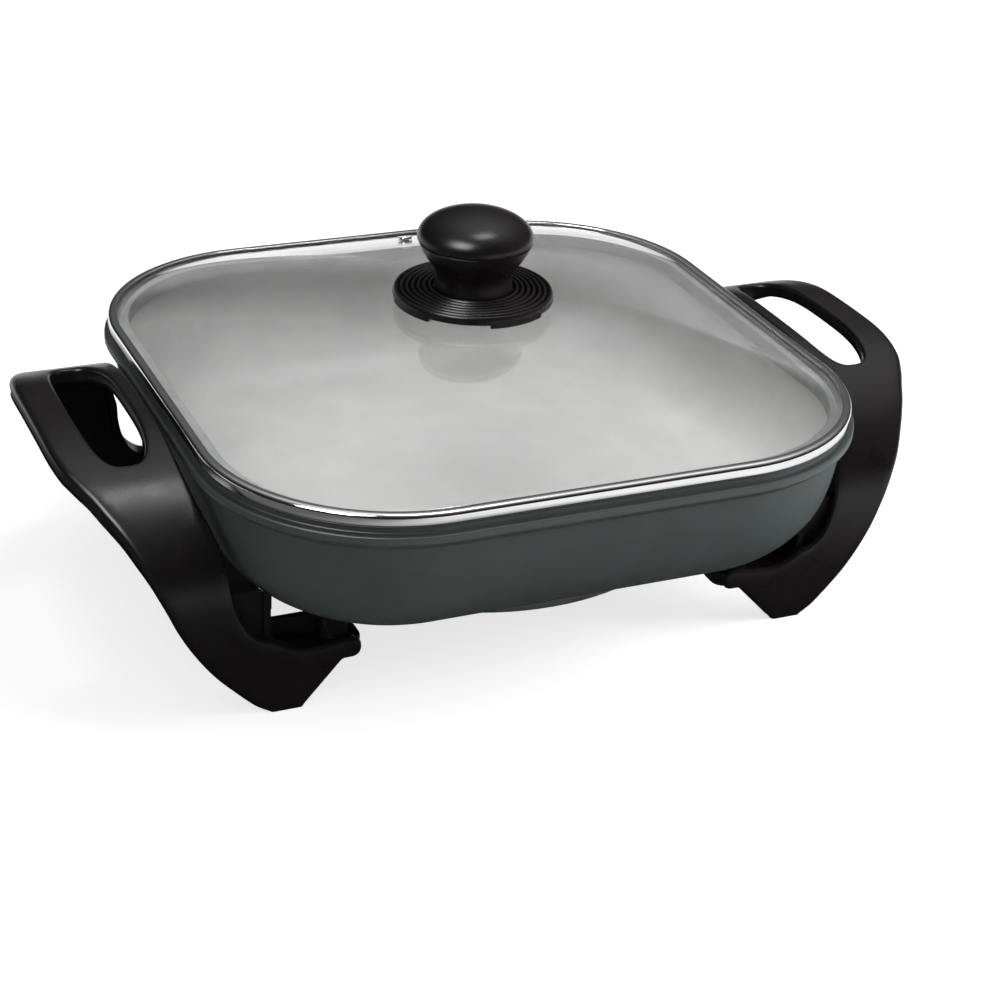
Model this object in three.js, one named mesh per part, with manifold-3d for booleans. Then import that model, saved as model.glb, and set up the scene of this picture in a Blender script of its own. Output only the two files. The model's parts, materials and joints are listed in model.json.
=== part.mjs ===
// Electric skillet with a lift-off glass lid, in millimetres, +Z up.
// The origin is on the table under the middle of the pan. The front is -Y, and the
// inlet for the heat control is on the +X side, under the right handle.

import * as THREE from 'three';
import { mergeVertices } from 'three/addons/utils/BufferGeometryUtils.js';
import Module from 'manifold-3d';

const wasm = await Module();
wasm.setup();

// Overall sizes
const panRimWidth = 304.8;
const handleSpan = 412.75;
const overallHeight = 177.8;

// Shared clearances and facet counts
const gap = 0.3;
const overrun = 5;
const cornerSteps = 7;
const roundSteps = 24;
const smallRoundSteps = 12;
const weldTolerance = 0.0001;

// Pan: a square tub with round corners and a stepped rim
const panCornerRadius = 85.4;
const panUnderside = 41;
const panDepthShare = 0.35827;
const panFloorThickness = 5;
const panSideReach = 40.4;
const panRimOverhang = 4.4;
const panWall = 6;
const panFloorInset = 4;
const panSeatInset = 3.9;
const panSeatStep = 2.7;
const panRimThickness = 3.4;
const panRimRound = 0.7;
const panRimCove = 4;
const panRimRidge = 1.4;
const panSideShares = [[0, 0], [0.2, 0.035], [0.36, 0.095], [0.52, 0.175], [0.69, 0.3],
  [0.84, 0.46], [0.94, 0.7], [1, 1]];

// Heater: a sheathed element lying in a cast ring under the pan
const ringInset = 7.6;
const ringWidth = 18.4;
const ringDepth = 12;
const ringChamfer = 1;
const elementRadius = 3.6;
const elementRise = 5;
const elementBend = 10;
const elementSides = 8;
const elementSteps = 36;
const elementReach = 5;
const pinSpacing = 28;

// Terminals: a pin in a ceramic bush at each end of the element
const pinRadius = 2.4;
const pinRecess = 7;
const pinTipCone = 2;
const bushRadius = 4.6;
const bushLength = 7;

// Well for the control's probe: a bored rib under the pan
const probeRibStart = 30;
const probeRibWidth = 16;
const probeRibEndWall = 15;
const probeBoreRadius = 3.5;

// Guard: an open box round the pins, hung from two pads on the pan
const guardSetBack = 4;
const guardLength = 36;
const guardWidth = 54;
const guardHeight = 19;
const guardDrop = 9;
const guardWall = 2;
const guardCornerRadius = 4;
const earThickness = 2;
const earWidth = 13;
const earLength = 20;
const guardScrewSetBack = 12;
const guardScrewClearance = 6;
const guardPadRadius = 5;
const guardPadHeight = 3;
const guardScrewRadius = 1.6;
const guardScrewHeadRadius = 3.4;
const guardScrewHeadHeight = 2.2;
const guardScrewGrip = 4;

// Handle legs: a moulded band arched over each side, wide at the grip, narrow at the feet
const gripRise = 2.3;
const legWidth = 203.6;
const footWidth = 14.9;
const footInset = 22.2;
const legFace = 5;
const legEdgeRound = 1.6;
const outerFlangeDepth = 8;
const innerFlangeDepth = 12;
const flangeWall = 3.6;
const handleClearance = 3.1;
const archSteps = 17;
const edgeSteps = 16;
// Shares of the foot's distance from the middle and of the grip's height
const archShares = [[0, 1], [0.2, 0.99], [0.4, 0.957], [0.59, 0.9], [0.73, 0.812],
  [0.81, 0.765], [0.885, 0.69], [0.93, 0.63], [0.947, 0.51], [0.965, 0.39],
  [0.98, 0.3], [1, 0.18], [1.008, 0.08], [1, 0]];
// Shares of the reach from the foot to the grip's outer edge, and of the grip's height
const outerEdgeShares = [[0, 0], [0.09, 0.037], [0.29, 0.18], [0.445, 0.33], [0.525, 0.41],
  [0.578, 0.52], [0.648, 0.645], [0.73, 0.745], [0.795, 0.808], [0.93, 0.905],
  [0.988, 0.958], [1, 1]];
// Shares of the reach from the lip's end to the handle's inner edge, and of the grip's height
const innerEdgeShares = [[1, 1], [0.998, 0.93], [0.985, 0.86], [0.93, 0.76], [0.89, 0.66],
  [0.87, 0.54], [0.832, 0.453], [0.768, 0.378], [0.675, 0.33], [0.59, 0.31], [0.5, 0.276],
  [0.38, 0.254], [0.22, 0.257], [0.1, 0.268]];
const lipLength = 27;
const lipHeight = 9.8;
const lipUnderside = 19.2;
const lipRound = 3;
const instepDepth = 8.7;

// Hand holes: rounded slots through the grips
const handHoleLength = 91;
const handHoleShare = 0.5209;
const gripShare = 0.3322;
const handHoleSteps = 20;
const handHolePower = 3;

// Shelves: the legs reach under the pan and are screwed up into its bosses
const shelfOverhang = 1.8;
const shelfLength = 25;
const shelfThickness = 7.3;
const shelfRound = 6;
const shelfMargin = 9;
const ribClearance = 4.4;
const ribThickness = 3;
const ribOffset = 4;
const shieldInset = 2.2;
const shieldThickness = 3;
const shieldClearance = 2;
const shieldUnderside = 24;
const pillarRadius = 7;
const handleScrewReach = 9.7;
const handleScrewInset = 13.8;
const panBossRadius = 6;
const panBossHeight = 3.6;
const handleScrewRadius = 2.2;
const handleScrewHeadRadius = 4;
const handleScrewHeadHeight = 3;
const handleScrewEngagement = 6;
const washerThickness = 1;
const washerRadius = 5;
const counterboreRadius = 5.6;
const counterboreDepth = 6;

// Locating pips: small pegs cast under the pan's corners
const pipRadius = 1.3;
const pipInset = 4.2;
const pipOffset = 2;
const pipRise = 1;

// Lid: a domed pane in a folded steel rim
const lidRimInset = 1.85;
const lidRimSheet = 0.8;
const lidRimLip = 4.1;
const lidRimRound = 1.2;
const lidSkirtClearance = 1.3;
const lidSkirtDepth = 6;
const glassThickness = 4;
const glassFlange = 4;
const glassRiseShare = 0.12598;
const glassLandRadius = 16;
const glassHoleRadius = 4;
const glassSteps = 7;
const glassRoundShare = 0.3;

// Steam vent: a small grommet behind the knob
const ventX = 12;
const ventInset = 35.5;
const ventBore = 2.8;
const ventBarrelRadius = 2.3;
const ventFlangeRadius = 3.75;
const ventFlange = 0.9;
const ventWasherRadius = 3.6;
const ventWasherThickness = 0.6;

// Knob: a turned cap on a neck, over a ridged disc, held by one screw from inside
const knobRadius = 26.5;
const knobCapShare = 0.35;
const knobNeckRadius = 17.8;
const knobNeckShare = 0.213;
const knobFootRadius = 19;
const knobCreaseShare = 0.019;
const discRadius = 36.8;
const discHeight = 5.4;
const discSheet = 2.4;
const discSkirtWall = 2;
const discHubRadius = 13;
const discRidgeCount = 4;
const discRidgeDepth = 0.7;
const discRidgeStart = 20;
const discNotchCount = 4;
const discNotchDegrees = 46;
const discNotchTurnDegrees = 57;
const discNotchHeight = 1.8;
const discNotchSteps = 4;
const sealThickness = 1;
const sealRadius = 12;
const knobScrewRadius = 2.1;
const knobScrewHeadRadius = 4.5;
const knobScrewHeadHeight = 2.8;
const knobWasherRadius = 9;
const insertRadius = 5;
const insertShare = 0.393;
const insertFloorShare = 0.101;
const knobScrewShare = 0.246;

// Places on the pan that follow from the sizes above
const cornerCentre = panRimWidth / 2 - panCornerRadius;
const panBottomWidth = panRimWidth - 2 * panSideReach;
const panBodyWidth = panRimWidth - 2 * panRimOverhang;
const panFloorTop = panUnderside + panFloorThickness;
const panSeatTop = panUnderside + panDepthShare * overallHeight;
const panShoulderTop = panSeatTop - panSeatStep;
const panRimUnderside = panShoulderTop - panRimThickness;
const bodyTop = panRimUnderside - panRimCove;
const panBossUnderside = panUnderside - panBossHeight;
const guardPadUnderside = panUnderside - guardPadHeight;

// Places on the heater and its guard
const ringOuterRadius = panBottomWidth / 2 - ringInset;
const ringUnderside = panUnderside - ringDepth;
const elementCircleRadius = ringOuterRadius - ringWidth / 2;
const elementHeight = ringUnderside + elementRise;
const elementEnd = panBottomWidth / 2 + elementReach;
const elementLeadY = pinSpacing / 2;
const guardStart = elementEnd + guardSetBack;
const guardEnd = guardStart + guardLength;
const guardUnderside = elementHeight - guardDrop;
const guardTop = guardUnderside + guardHeight;
const guardScrewX = guardStart - guardScrewSetBack;
const guardScrewY = guardWidth / 2 + guardScrewClearance;
const pinTip = guardEnd - pinRecess;
const earTop = guardPadUnderside - gap;

// Places on the handle legs
const gripTop = panSeatTop + gripRise;
const gripOuterX = handleSpan / 2;
const handleInnerX = panRimWidth / 2 + handleClearance;
const handleReach = gripOuterX - handleInnerX;
const handHoleWidth = handHoleShare * handleReach;
const gripWidth = gripShare * handleReach;
const footOuterX = panRimWidth / 2 - footInset;
const footOuterY = legWidth / 2;
const footInnerX = footOuterX - footWidth;
const lipEndX = footInnerX - lipLength;
const lipTop = lipUnderside + lipHeight;
const instepX = lipEndX + instepDepth;
const handleScrewX = lipEndX + handleScrewReach;
const handleScrewY = footOuterY - handleScrewInset;
const shelfEndX = lipEndX - shelfOverhang;
const shelfInnerY = handleScrewY - shelfMargin;
const ribY = handleScrewY - ribOffset;
const ribTop = panUnderside - ribClearance;
const shieldX = footOuterX - shieldInset;
const shieldEndY = guardWidth / 2 + shieldClearance;
const pipX = footOuterX - pipInset;
const pipY = handleScrewY - pipOffset;
const pipUnderside = panUnderside + pipRise;

// Places on the lid and its knob
const lidRimWidth = panRimWidth - 2 * lidRimInset;
const lidRimUnderside = panSeatTop + gap;
const lidRimTop = lidRimUnderside + glassThickness + 2 * (lidRimSheet + gap);
const lidSkirtWidth = panBodyWidth - 2 * (panWall + lidSkirtClearance);
const lidSkirtUnderside = lidRimUnderside - lidSkirtDepth;
const glassEdgeHeight = lidRimTop - lidRimSheet - gap;
const glassHalfWidth = lidRimWidth / 2 - lidRimSheet - gap;
const glassFlangeHalfWidth = glassHalfWidth - glassFlange;
const glassCrown = lidRimTop + glassRiseShare * overallHeight;
const ventY = lidRimWidth / 2 - ventInset;
const discUnderside = glassCrown + sealThickness + 2 * gap;
const discTop = discUnderside + discHeight;
const knobSeatHeight = discTop + 2 * gap;
const knobHeight = overallHeight - knobSeatHeight;
const knobNeckHeight = knobSeatHeight + knobNeckShare * knobHeight;
const knobWidestHeight = overallHeight - knobCapShare * knobHeight;
const knobCrease = knobCreaseShare * knobHeight;
const insertBottom = knobSeatHeight + gap;
const insertTop = insertBottom + insertShare * knobHeight;
const insertFloorHeight = insertTop - insertFloorShare * knobHeight;

const frontAndBack = { front: -1, back: 1 };
const leftAndRight = { left: -1, right: 1 };

const darkBrown = { color: 0x171415, roughness: 0.38, metalness: 0 };
const painted = { color: 0x4b5553, roughness: 0.42, metalness: 0.35 };
const castBright = { color: 0xc9cccd, roughness: 0.45, metalness: 0.9 };
const sheath = { color: 0x8a8886, roughness: 0.5, metalness: 1 };
const steel = { color: 0xb9bcbe, roughness: 0.3, metalness: 1 };
const chrome = { color: 0xdedfe0, roughness: 0.12, metalness: 1 };
const brass = { color: 0xb5975a, roughness: 0.35, metalness: 1 };
const silicone = { color: 0x2a2a2b, roughness: 0.7, metalness: 0 };
const ceramic = { color: 0xe9e4d8, roughness: 0.6, metalness: 0 };
const glass = { color: 0xdfe7e4, roughness: 0.05, metalness: 0, transparent: true, opacity: 0.35 };

// Geometry helpers

function signedVolume(points, index) {
  const a = new THREE.Vector3();
  const b = new THREE.Vector3();
  const c = new THREE.Vector3();
  let volume = 0;
  for (let i = 0; i < index.length; i += 3) {
    a.fromArray(points, 3 * index[i]);
    b.fromArray(points, 3 * index[i + 1]);
    c.fromArray(points, 3 * index[i + 2]);
    volume += a.dot(b.cross(c)) / 6;
  }
  return volume;
}

// Turns a closed geometry into a solid whose faces point out.
function solid(geometry) {
  const bare = new THREE.BufferGeometry();
  bare.setAttribute('position', geometry.getAttribute('position').clone());
  if (geometry.index) bare.setIndex(geometry.index.clone());
  const welded = mergeVertices(bare, weldTolerance);
  const points = welded.getAttribute('position').array;
  const kept = [];
  for (let i = 0; i < welded.index.count; i += 3) {
    const corners = [0, 1, 2].map((k) => welded.index.getX(i + k));
    if (new Set(corners).size === 3) kept.push(...corners);
  }
  if (signedVolume(points, kept) < 0) kept.reverse();
  return new wasm.Manifold(new wasm.Mesh({
    numProp: 3,
    vertProperties: new Float32Array(points),
    triVerts: new Uint32Array(kept),
  }));
}

function geometryOf(manifold) {
  const mesh = manifold.getMesh();
  const geometry = new THREE.BufferGeometry();
  geometry.setAttribute('position', new THREE.BufferAttribute(mesh.vertProperties, 3));
  geometry.setIndex(new THREE.BufferAttribute(mesh.triVerts, 1));
  return geometry;
}

function joined(parts) {
  return parts.reduce((whole, part) => whole.add(part));
}

function cut(body, tools) {
  return tools.reduce((rest, tool) => rest.subtract(tool), body);
}

// A turned solid about Z from [radius, height] points. The points start and end on the
// axis, or the last one repeats the first.
function turned(profile, steps = roundSteps) {
  const points = profile.map(([radius, height]) => new THREE.Vector2(radius, height));
  return new THREE.LatheGeometry(points, steps).rotateX(Math.PI / 2);
}

function cylinder(radius, bottom, top, steps = smallRoundSteps) {
  return turned([[0, bottom], [radius, bottom], [radius, top], [0, top]], steps);
}

function washer(inner, outer, bottom, top) {
  const profile = [[inner, bottom], [outer, bottom], [outer, top], [inner, top]];
  return turned([...profile, profile[0]], smallRoundSteps);
}

function block(x0, x1, y0, y1, z0, z1) {
  const box = new THREE.BoxGeometry(x1 - x0, y1 - y0, z1 - z0);
  return box.translate((x0 + x1) / 2, (y0 + y1) / 2, (z0 + z1) / 2);
}

// A flat outline swept straight: up from bottom to top, or along Y or X between two places.
function sweptUp(outline, bottom, top) {
  const shape = Array.isArray(outline) ? new THREE.Shape(outline) : outline;
  const options = { depth: top - bottom, bevelEnabled: false, curveSegments: cornerSteps };
  return new THREE.ExtrudeGeometry(shape, options).translate(0, 0, bottom);
}

// The outline is in (x, z).
function sweptAlongY(outline, front, back) {
  return sweptUp(outline, -back, -front).rotateX(Math.PI / 2);
}

// The outline is in (y, z).
function sweptAlongX(outline, left, right) {
  return sweptUp(outline, left, right).rotateX(Math.PI / 2).rotateZ(Math.PI / 2);
}

function mirrored(geometry, x) {
  return geometry.clone().scale(x, 1, 1);
}

// A square ring of points with round corners, from its half width and the place of the
// corner's centre.
function squareRing(half, centre, height) {
  const reach = Math.min(centre, half);
  const radius = half - reach;
  const ring = [];
  for (let corner = 0; corner < 4; corner += 1) {
    const start = corner * Math.PI / 2;
    const x = reach * Math.SQRT2 * Math.cos(start + Math.PI / 4);
    const y = reach * Math.SQRT2 * Math.sin(start + Math.PI / 4);
    for (let step = 0; step <= cornerSteps; step += 1) {
      const angle = start + step / cornerSteps * Math.PI / 2;
      ring.push([x + radius * Math.cos(angle), y + radius * Math.sin(angle), height]);
    }
  }
  return ring;
}

// A skin over a stack of such rings. The first and last rings are points on the axis, or
// the last one repeats the first.
function lofted(rings) {
  const count = rings[0].length;
  const index = [];
  for (let row = 0; row + 1 < rings.length; row += 1) {
    for (let i = 0; i < count; i += 1) {
      const a = row * count + i;
      const b = row * count + (i + 1) % count;
      index.push(a, b, b + count, a, b + count, a + count);
    }
  }
  const geometry = new THREE.BufferGeometry();
  geometry.setAttribute('position', new THREE.Float32BufferAttribute(rings.flat(2), 3));
  geometry.setIndex(index);
  return geometry;
}

function squareLoft(profile) {
  return lofted(profile.map(([half, height]) => squareRing(half, cornerCentre, height)));
}

// Points beside a line, a given distance to its left.
function besideLine(points, distance) {
  return points.map((point, i) => {
    const before = points[Math.max(i - 1, 0)];
    const after = points[Math.min(i + 1, points.length - 1)];
    const along = after.clone().sub(before).normalize();
    return new THREE.Vector2(point.x - along.y * distance, point.y + along.x * distance);
  });
}

function stripBeside(points, distance) {
  return [...points, ...besideLine(points, distance).reverse()];
}

function splineThrough(points, steps) {
  return new THREE.SplineCurve(points).getPoints(steps);
}

const skillet = new THREE.Group();

function addPiece(name, shape, finish) {
  const geometry = shape.getMesh ? geometryOf(shape) : geometryOf(solid(shape));
  const mesh = new THREE.Mesh(geometry, new THREE.MeshStandardMaterial(finish));
  mesh.name = name;
  skillet.add(mesh);
}

// Heating element

// The line of the element: in from one terminal, round the circle and out to the other.
function elementLine() {
  const bendCentre = elementCircleRadius + elementBend;
  const bendStart = Math.asin((elementLeadY + elementBend) / bendCentre);
  const centreX = bendCentre * Math.cos(bendStart);
  const arc = (x, y, radius, from, to, clockwise) => {
    const flat = new THREE.EllipseCurve(x, y, radius, radius, from, to, clockwise, 0);
    const steps = Math.ceil(Math.abs(to - from) / (2 * Math.PI) * elementSteps) + 2;
    return flat.getPoints(steps);
  };
  const bendY = elementLeadY + elementBend;
  return [
    new THREE.Vector2(elementEnd, elementLeadY),
    ...arc(centreX, bendY, elementBend, -Math.PI / 2, bendStart - Math.PI, true),
    ...arc(0, 0, elementCircleRadius, bendStart, 2 * Math.PI - bendStart, false).slice(1),
    ...arc(centreX, -bendY, elementBend, Math.PI - bendStart, Math.PI / 2, true).slice(1),
    new THREE.Vector2(elementEnd, -elementLeadY),
  ];
}

// A round tube whose sections stand square on a flat line of points.
function flatTube(points, radius, height, endRun) {
  const first = points[0].clone();
  const last = points[points.length - 1].clone();
  first.x += endRun;
  last.x += endRun;
  const route = [first, ...points.slice(1, -1), last];
  const rings = route.map((point, i) => {
    const before = route[Math.max(i - 1, 0)];
    const after = route[Math.min(i + 1, route.length - 1)];
    const side = after.clone().sub(before).normalize();
    const ring = [];
    for (let k = 0; k < elementSides; k += 1) {
      const angle = (k + 0.5) / elementSides * 2 * Math.PI;
      const out = radius * Math.cos(angle);
      const up = radius * Math.sin(angle);
      ring.push([point.x + side.y * out, point.y - side.x * out, height + up]);
    }
    return ring;
  });
  const cap = (point) => rings[0].map(() => [point.x, point.y, height]);
  return lofted([cap(first), ...rings, cap(last)]);
}

const elementPoints = elementLine();

function elementChannel() {
  const wide = elementRadius + gap;
  const points = elementPoints.map((point) => point.clone());
  points[0].x += overrun;
  points[points.length - 1].x += overrun;
  const outline = [...besideLine(points, wide), ...besideLine(points, -wide).reverse()];
  const slot = sweptUp(outline, ringUnderside - overrun, elementHeight);
  return [solid(slot), solid(flatTube(elementPoints, wide, elementHeight, overrun))];
}

// Pan

function panSide(bottomHalf, topHalf, bottom, top) {
  return panSideShares.map(([out, up]) => [
    bottomHalf + out * (topHalf - bottomHalf),
    bottom + up * (top - bottom),
  ]);
}

// The pan's outer profile from its underside to its shoulder, grown by a clearance.
function panOutside(clearance = 0) {
  const side = panSide(panBottomWidth / 2, panBodyWidth / 2, panUnderside, bodyTop);
  const rim = panRimWidth / 2;
  const outside = [
    ...side,
    [rim - panRimRidge, panRimUnderside - panRimRidge],
    [rim, panRimUnderside],
    [rim, panShoulderTop - panRimRound],
    [rim - panRimRound, panShoulderTop],
  ].map(([half, height]) => new THREE.Vector2(half, height));
  return besideLine(outside, -clearance).map(({ x, y }) => [x, y]);
}

// Everything that the pan fills, grown by a clearance, for cutting what fits round it.
function panEnvelope(clearance) {
  const outside = panOutside(clearance);
  const top = [outside[outside.length - 1][0], overallHeight];
  return solid(squareLoft([[0, panUnderside - clearance], ...outside, top, [0, overallHeight]]));
}

// The middle of the pan's floor or side over a place under it.
function panMiddleOver(x, y) {
  const pastX = Math.abs(x) - cornerCentre;
  const pastY = Math.abs(y) - cornerCentre;
  const inCorner = pastX > 0 && pastY > 0;
  const half = cornerCentre + (inCorner ? Math.hypot(pastX, pastY) : Math.max(pastX, pastY));
  const side = panOutside();
  const next = side.findIndex(([edge]) => edge > half);
  let outer = panUnderside;
  if (next > 0) {
    const [[fromHalf, fromHeight], [toHalf, toHeight]] = [side[next - 1], side[next]];
    outer = THREE.MathUtils.mapLinear(half, fromHalf, toHalf, fromHeight, toHeight);
  }
  return outer + panFloorThickness / 2;
}

function addPan() {
  const seatEdge = panRimWidth / 2 - panSeatInset;
  const innerTop = panBodyWidth / 2 - panWall;
  const innerBottom = panBottomWidth / 2 - panFloorInset;
  const inside = panSide(innerBottom, innerTop, panFloorTop, bodyTop);
  const tub = solid(squareLoft([
    [0, panUnderside],
    ...panOutside(),
    [seatEdge, panShoulderTop],
    [seatEdge - panRimRound, panSeatTop],
    [innerTop + panRimRound, panSeatTop],
    [innerTop, panSeatTop - panRimRound],
    ...inside.reverse(),
    [0, panFloorTop],
  ]));
  const added = [];
  const holes = [];
  for (const y of Object.values(frontAndBack)) {
    const padTop = panMiddleOver(guardScrewX, guardScrewY);
    const pad = cylinder(guardPadRadius, guardPadUnderside, padTop);
    added.push(solid(pad.translate(guardScrewX, y * guardScrewY, 0)));
    const padHole = cylinder(
      guardScrewRadius + gap,
      guardPadUnderside - overrun,
      guardPadUnderside + guardScrewGrip + gap,
    );
    holes.push(solid(padHole.translate(guardScrewX, y * guardScrewY, 0)));
    for (const x of Object.values(leftAndRight)) {
      const bossTop = panMiddleOver(handleScrewX, handleScrewY);
      const boss = cylinder(panBossRadius, panBossUnderside, bossTop);
      added.push(solid(boss.translate(x * handleScrewX, y * handleScrewY, 0)));
      const hole = cylinder(
        handleScrewRadius + gap,
        panBossUnderside - overrun,
        panBossUnderside + handleScrewEngagement + gap,
      );
      holes.push(solid(hole.translate(x * handleScrewX, y * handleScrewY, 0)));
      const pip = cylinder(pipRadius, pipUnderside, panMiddleOver(pipX, pipY));
      added.push(solid(pip.translate(x * pipX, y * pipY, 0)));
    }
  }
  addPiece('pan_body', cut(joined([tub, ...added]), holes), painted);
}

// Heater and inlet

// The ring under the pan, with the probe's rib across it. It is cast round the element.
function addHeaterRing() {
  const top = panUnderside - gap;
  const ringInner = ringOuterRadius - ringWidth;
  const ring = turned([
    [ringInner, top],
    [ringInner, ringUnderside + ringChamfer],
    [ringInner + ringChamfer, ringUnderside],
    [ringOuterRadius - ringChamfer, ringUnderside],
    [ringOuterRadius, ringUnderside + ringChamfer],
    [ringOuterRadius, top],
    [ringInner, top],
  ], 2 * roundSteps);
  const half = probeRibWidth / 2;
  const rib = block(probeRibStart, panBottomWidth / 2, -half, half, ringUnderside, top);
  const bore = cylinder(probeBoreRadius, probeRibStart + probeRibEndWall, panBottomWidth / 2 + overrun)
    .rotateY(Math.PI / 2)
    .translate(0, 0, elementHeight);
  const whole = joined([solid(ring), solid(rib)]);
  addPiece('heater_ring', cut(whole, [...elementChannel(), solid(bore)]), castBright);
}

function addHeater() {
  addPiece('heating_element', flatTube(elementPoints, elementRadius, elementHeight, 0), sheath);
  const start = elementEnd + gap;
  for (const [place, side] of Object.entries(frontAndBack)) {
    const pin = turned([
      [0, start],
      [pinRadius, start],
      [pinRadius, pinTip - pinTipCone],
      [pinRadius - pinTipCone / 2, pinTip],
      [0, pinTip],
    ], smallRoundSteps);
    const bush = washer(pinRadius + gap, bushRadius, start, start + bushLength);
    const laid = (geometry) => geometry
      .rotateY(Math.PI / 2)
      .translate(0, side * elementLeadY, elementHeight);
    addPiece(`terminal_pin_${place}`, laid(pin), steel);
    addPiece(`terminal_bush_${place}`, laid(bush), ceramic);
  }
}

function roundedBox(width, bottom, top, radius) {
  const shape = new THREE.Shape();
  const half = width / 2;
  shape.moveTo(half - radius, bottom);
  shape.absarc(half - radius, bottom + radius, radius, -Math.PI / 2, 0, false);
  shape.absarc(half - radius, top - radius, radius, 0, Math.PI / 2, false);
  shape.absarc(-half + radius, top - radius, radius, Math.PI / 2, Math.PI, false);
  shape.absarc(-half + radius, bottom + radius, radius, Math.PI, 1.5 * Math.PI, false);
  return shape;
}

function addGuard() {
  const shell = solid(sweptAlongX(
    roundedBox(guardWidth, guardUnderside, guardTop, guardCornerRadius), guardStart, guardEnd,
  ));
  const room = solid(sweptAlongX(
    roundedBox(
      guardWidth - 2 * guardWall,
      guardUnderside + guardWall,
      guardTop - guardWall,
      guardCornerRadius - guardWall,
    ),
    guardStart + guardWall,
    guardEnd + overrun,
  ));
  const ears = [];
  const holes = [];
  const seat = earTop - earThickness;
  for (const [place, side] of Object.entries(frontAndBack)) {
    const inner = guardWidth / 2 - guardWall;
    const earEnd = guardStart + guardWall;
    const ear = block(earEnd - earLength, earEnd, inner, inner + earWidth, seat, earTop);
    ears.push(solid(ear.scale(1, side, 1)));
    const y = side * guardScrewY;
    const hole = cylinder(guardScrewRadius + gap, seat - overrun, earTop + overrun);
    holes.push(solid(hole.translate(guardScrewX, y, 0)));
    const screw = turned([
      [0, seat - gap - guardScrewHeadHeight],
      [guardScrewHeadRadius - gap, seat - gap - guardScrewHeadHeight],
      [guardScrewHeadRadius, seat - gap - guardScrewHeadHeight / 2],
      [guardScrewHeadRadius, seat - gap],
      [guardScrewRadius, seat - gap],
      [guardScrewRadius, guardPadUnderside + guardScrewGrip],
      [0, guardPadUnderside + guardScrewGrip],
    ], smallRoundSteps);
    addPiece(`probe_guard_screw_${place}`, screw.translate(guardScrewX, y, 0), steel);
  }
  const wallHole = (radius, y) => solid(cylinder(radius, guardStart - overrun, guardStart + overrun)
    .rotateY(Math.PI / 2)
    .translate(0, y, elementHeight));
  holes.push(wallHole(bushRadius + gap, elementLeadY), wallHole(bushRadius + gap, -elementLeadY));
  holes.push(wallHole(probeBoreRadius + gap, 0));
  holes.push(panEnvelope(gap));
  addPiece('probe_guard', cut(joined([shell.subtract(room), ...ears]), holes), steel);
}

// Handle legs

function sharesToPoints(shares, from, to, height) {
  return shares.map(([out, up]) => new THREE.Vector2(from + out * (to - from), up * height));
}

// The places along the arch, from foot to foot: a point of its outer curve, the way in
// from there, and how far the handle reaches outwards at that height.
function archStations(edge) {
  const half = splineThrough(sharesToPoints(archShares, 0, footOuterY, gripTop), archSteps);
  const other = half.slice(1).map((point) => new THREE.Vector2(-point.x, point.y)).reverse();
  const curve = [
    new THREE.Vector2(-footOuterY, -overrun),
    ...other,
    ...half,
    new THREE.Vector2(footOuterY, -overrun),
  ];
  const inwards = besideLine(curve, -1);
  return curve.map((point, i) => ({
    point,
    inward: inwards[i].sub(point),
    reach: edgeAt(edge, point.y),
  }));
}

// How far out an edge is at a height, along its points from the foot up.
function edgeAt(edge, height) {
  const above = edge.findIndex((point) => point.y >= height);
  if (above === 0) return edge[0].x;
  if (above < 0) return edge[edge.length - 1].x;
  const from = edge[above - 1];
  const to = edge[above];
  return from.x + (height - from.y) / (to.y - from.y) * (to.x - from.x);
}

// A solid that follows the arch. Its section is a list of [x, depth under the face], and
// the first of them is the middle of its end caps.
function alongArch(stations, section) {
  const rings = stations.map(({ point, inward, reach }) => section(reach).map(([x, depth]) => [
    x, point.x + inward.x * depth, point.y + inward.y * depth,
  ]));
  const cap = (ring) => ring.map(() => ring[0]);
  return solid(lofted([cap(rings[0]), ...rings, cap(rings[rings.length - 1])]));
}

function handHole() {
  const middle = gripOuterX - gripWidth - handHoleWidth / 2;
  const outline = [];
  const bulge = (value) => Math.sign(value) * Math.abs(value) ** (2 / handHolePower);
  for (let step = 0; step < handHoleSteps; step += 1) {
    const angle = step / handHoleSteps * 2 * Math.PI;
    outline.push(new THREE.Vector2(
      middle + handHoleWidth / 2 * bulge(Math.cos(angle)),
      handHoleLength / 2 * bulge(Math.sin(angle)),
    ));
  }
  return solid(sweptUp(outline, panShoulderTop / 2, gripTop + overrun));
}

// The shelf under the pan at one foot: a block with a round end, a rib that stops short of
// the pan, a shield beside the pan and a pillar that carries the pan's boss.
function shelf(side) {
  const far = footOuterY - legFace;
  const plan = new THREE.Shape();
  plan.moveTo(shelfEndX + shelfLength, shelfInnerY);
  plan.lineTo(shelfEndX + shelfLength, far);
  plan.lineTo(shelfEndX + shelfRound, far);
  const roundX = shelfEndX + shelfRound;
  plan.absarc(roundX, far - shelfRound, shelfRound, Math.PI / 2, Math.PI, false);
  plan.absarc(roundX, shelfInnerY + shelfRound, shelfRound, Math.PI, 1.5 * Math.PI, false);
  const ribEnd = ribY + ribThickness;
  const shieldOuter = shieldX + shieldThickness;
  const pillar = cylinder(pillarRadius, lipUnderside, panBossUnderside - gap);
  const pieces = [
    sweptUp(plan, lipUnderside, lipUnderside + shelfThickness),
    block(shelfEndX + shelfRound, shieldOuter, ribY, ribEnd, shieldUnderside, ribTop),
    block(shieldX, shieldOuter, shieldEndY, ribEnd, shieldUnderside, panRimUnderside),
    pillar.translate(handleScrewX, handleScrewY, 0),
  ];
  return pieces.map((piece) => solid(piece.scale(1, side, 1)));
}

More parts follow.
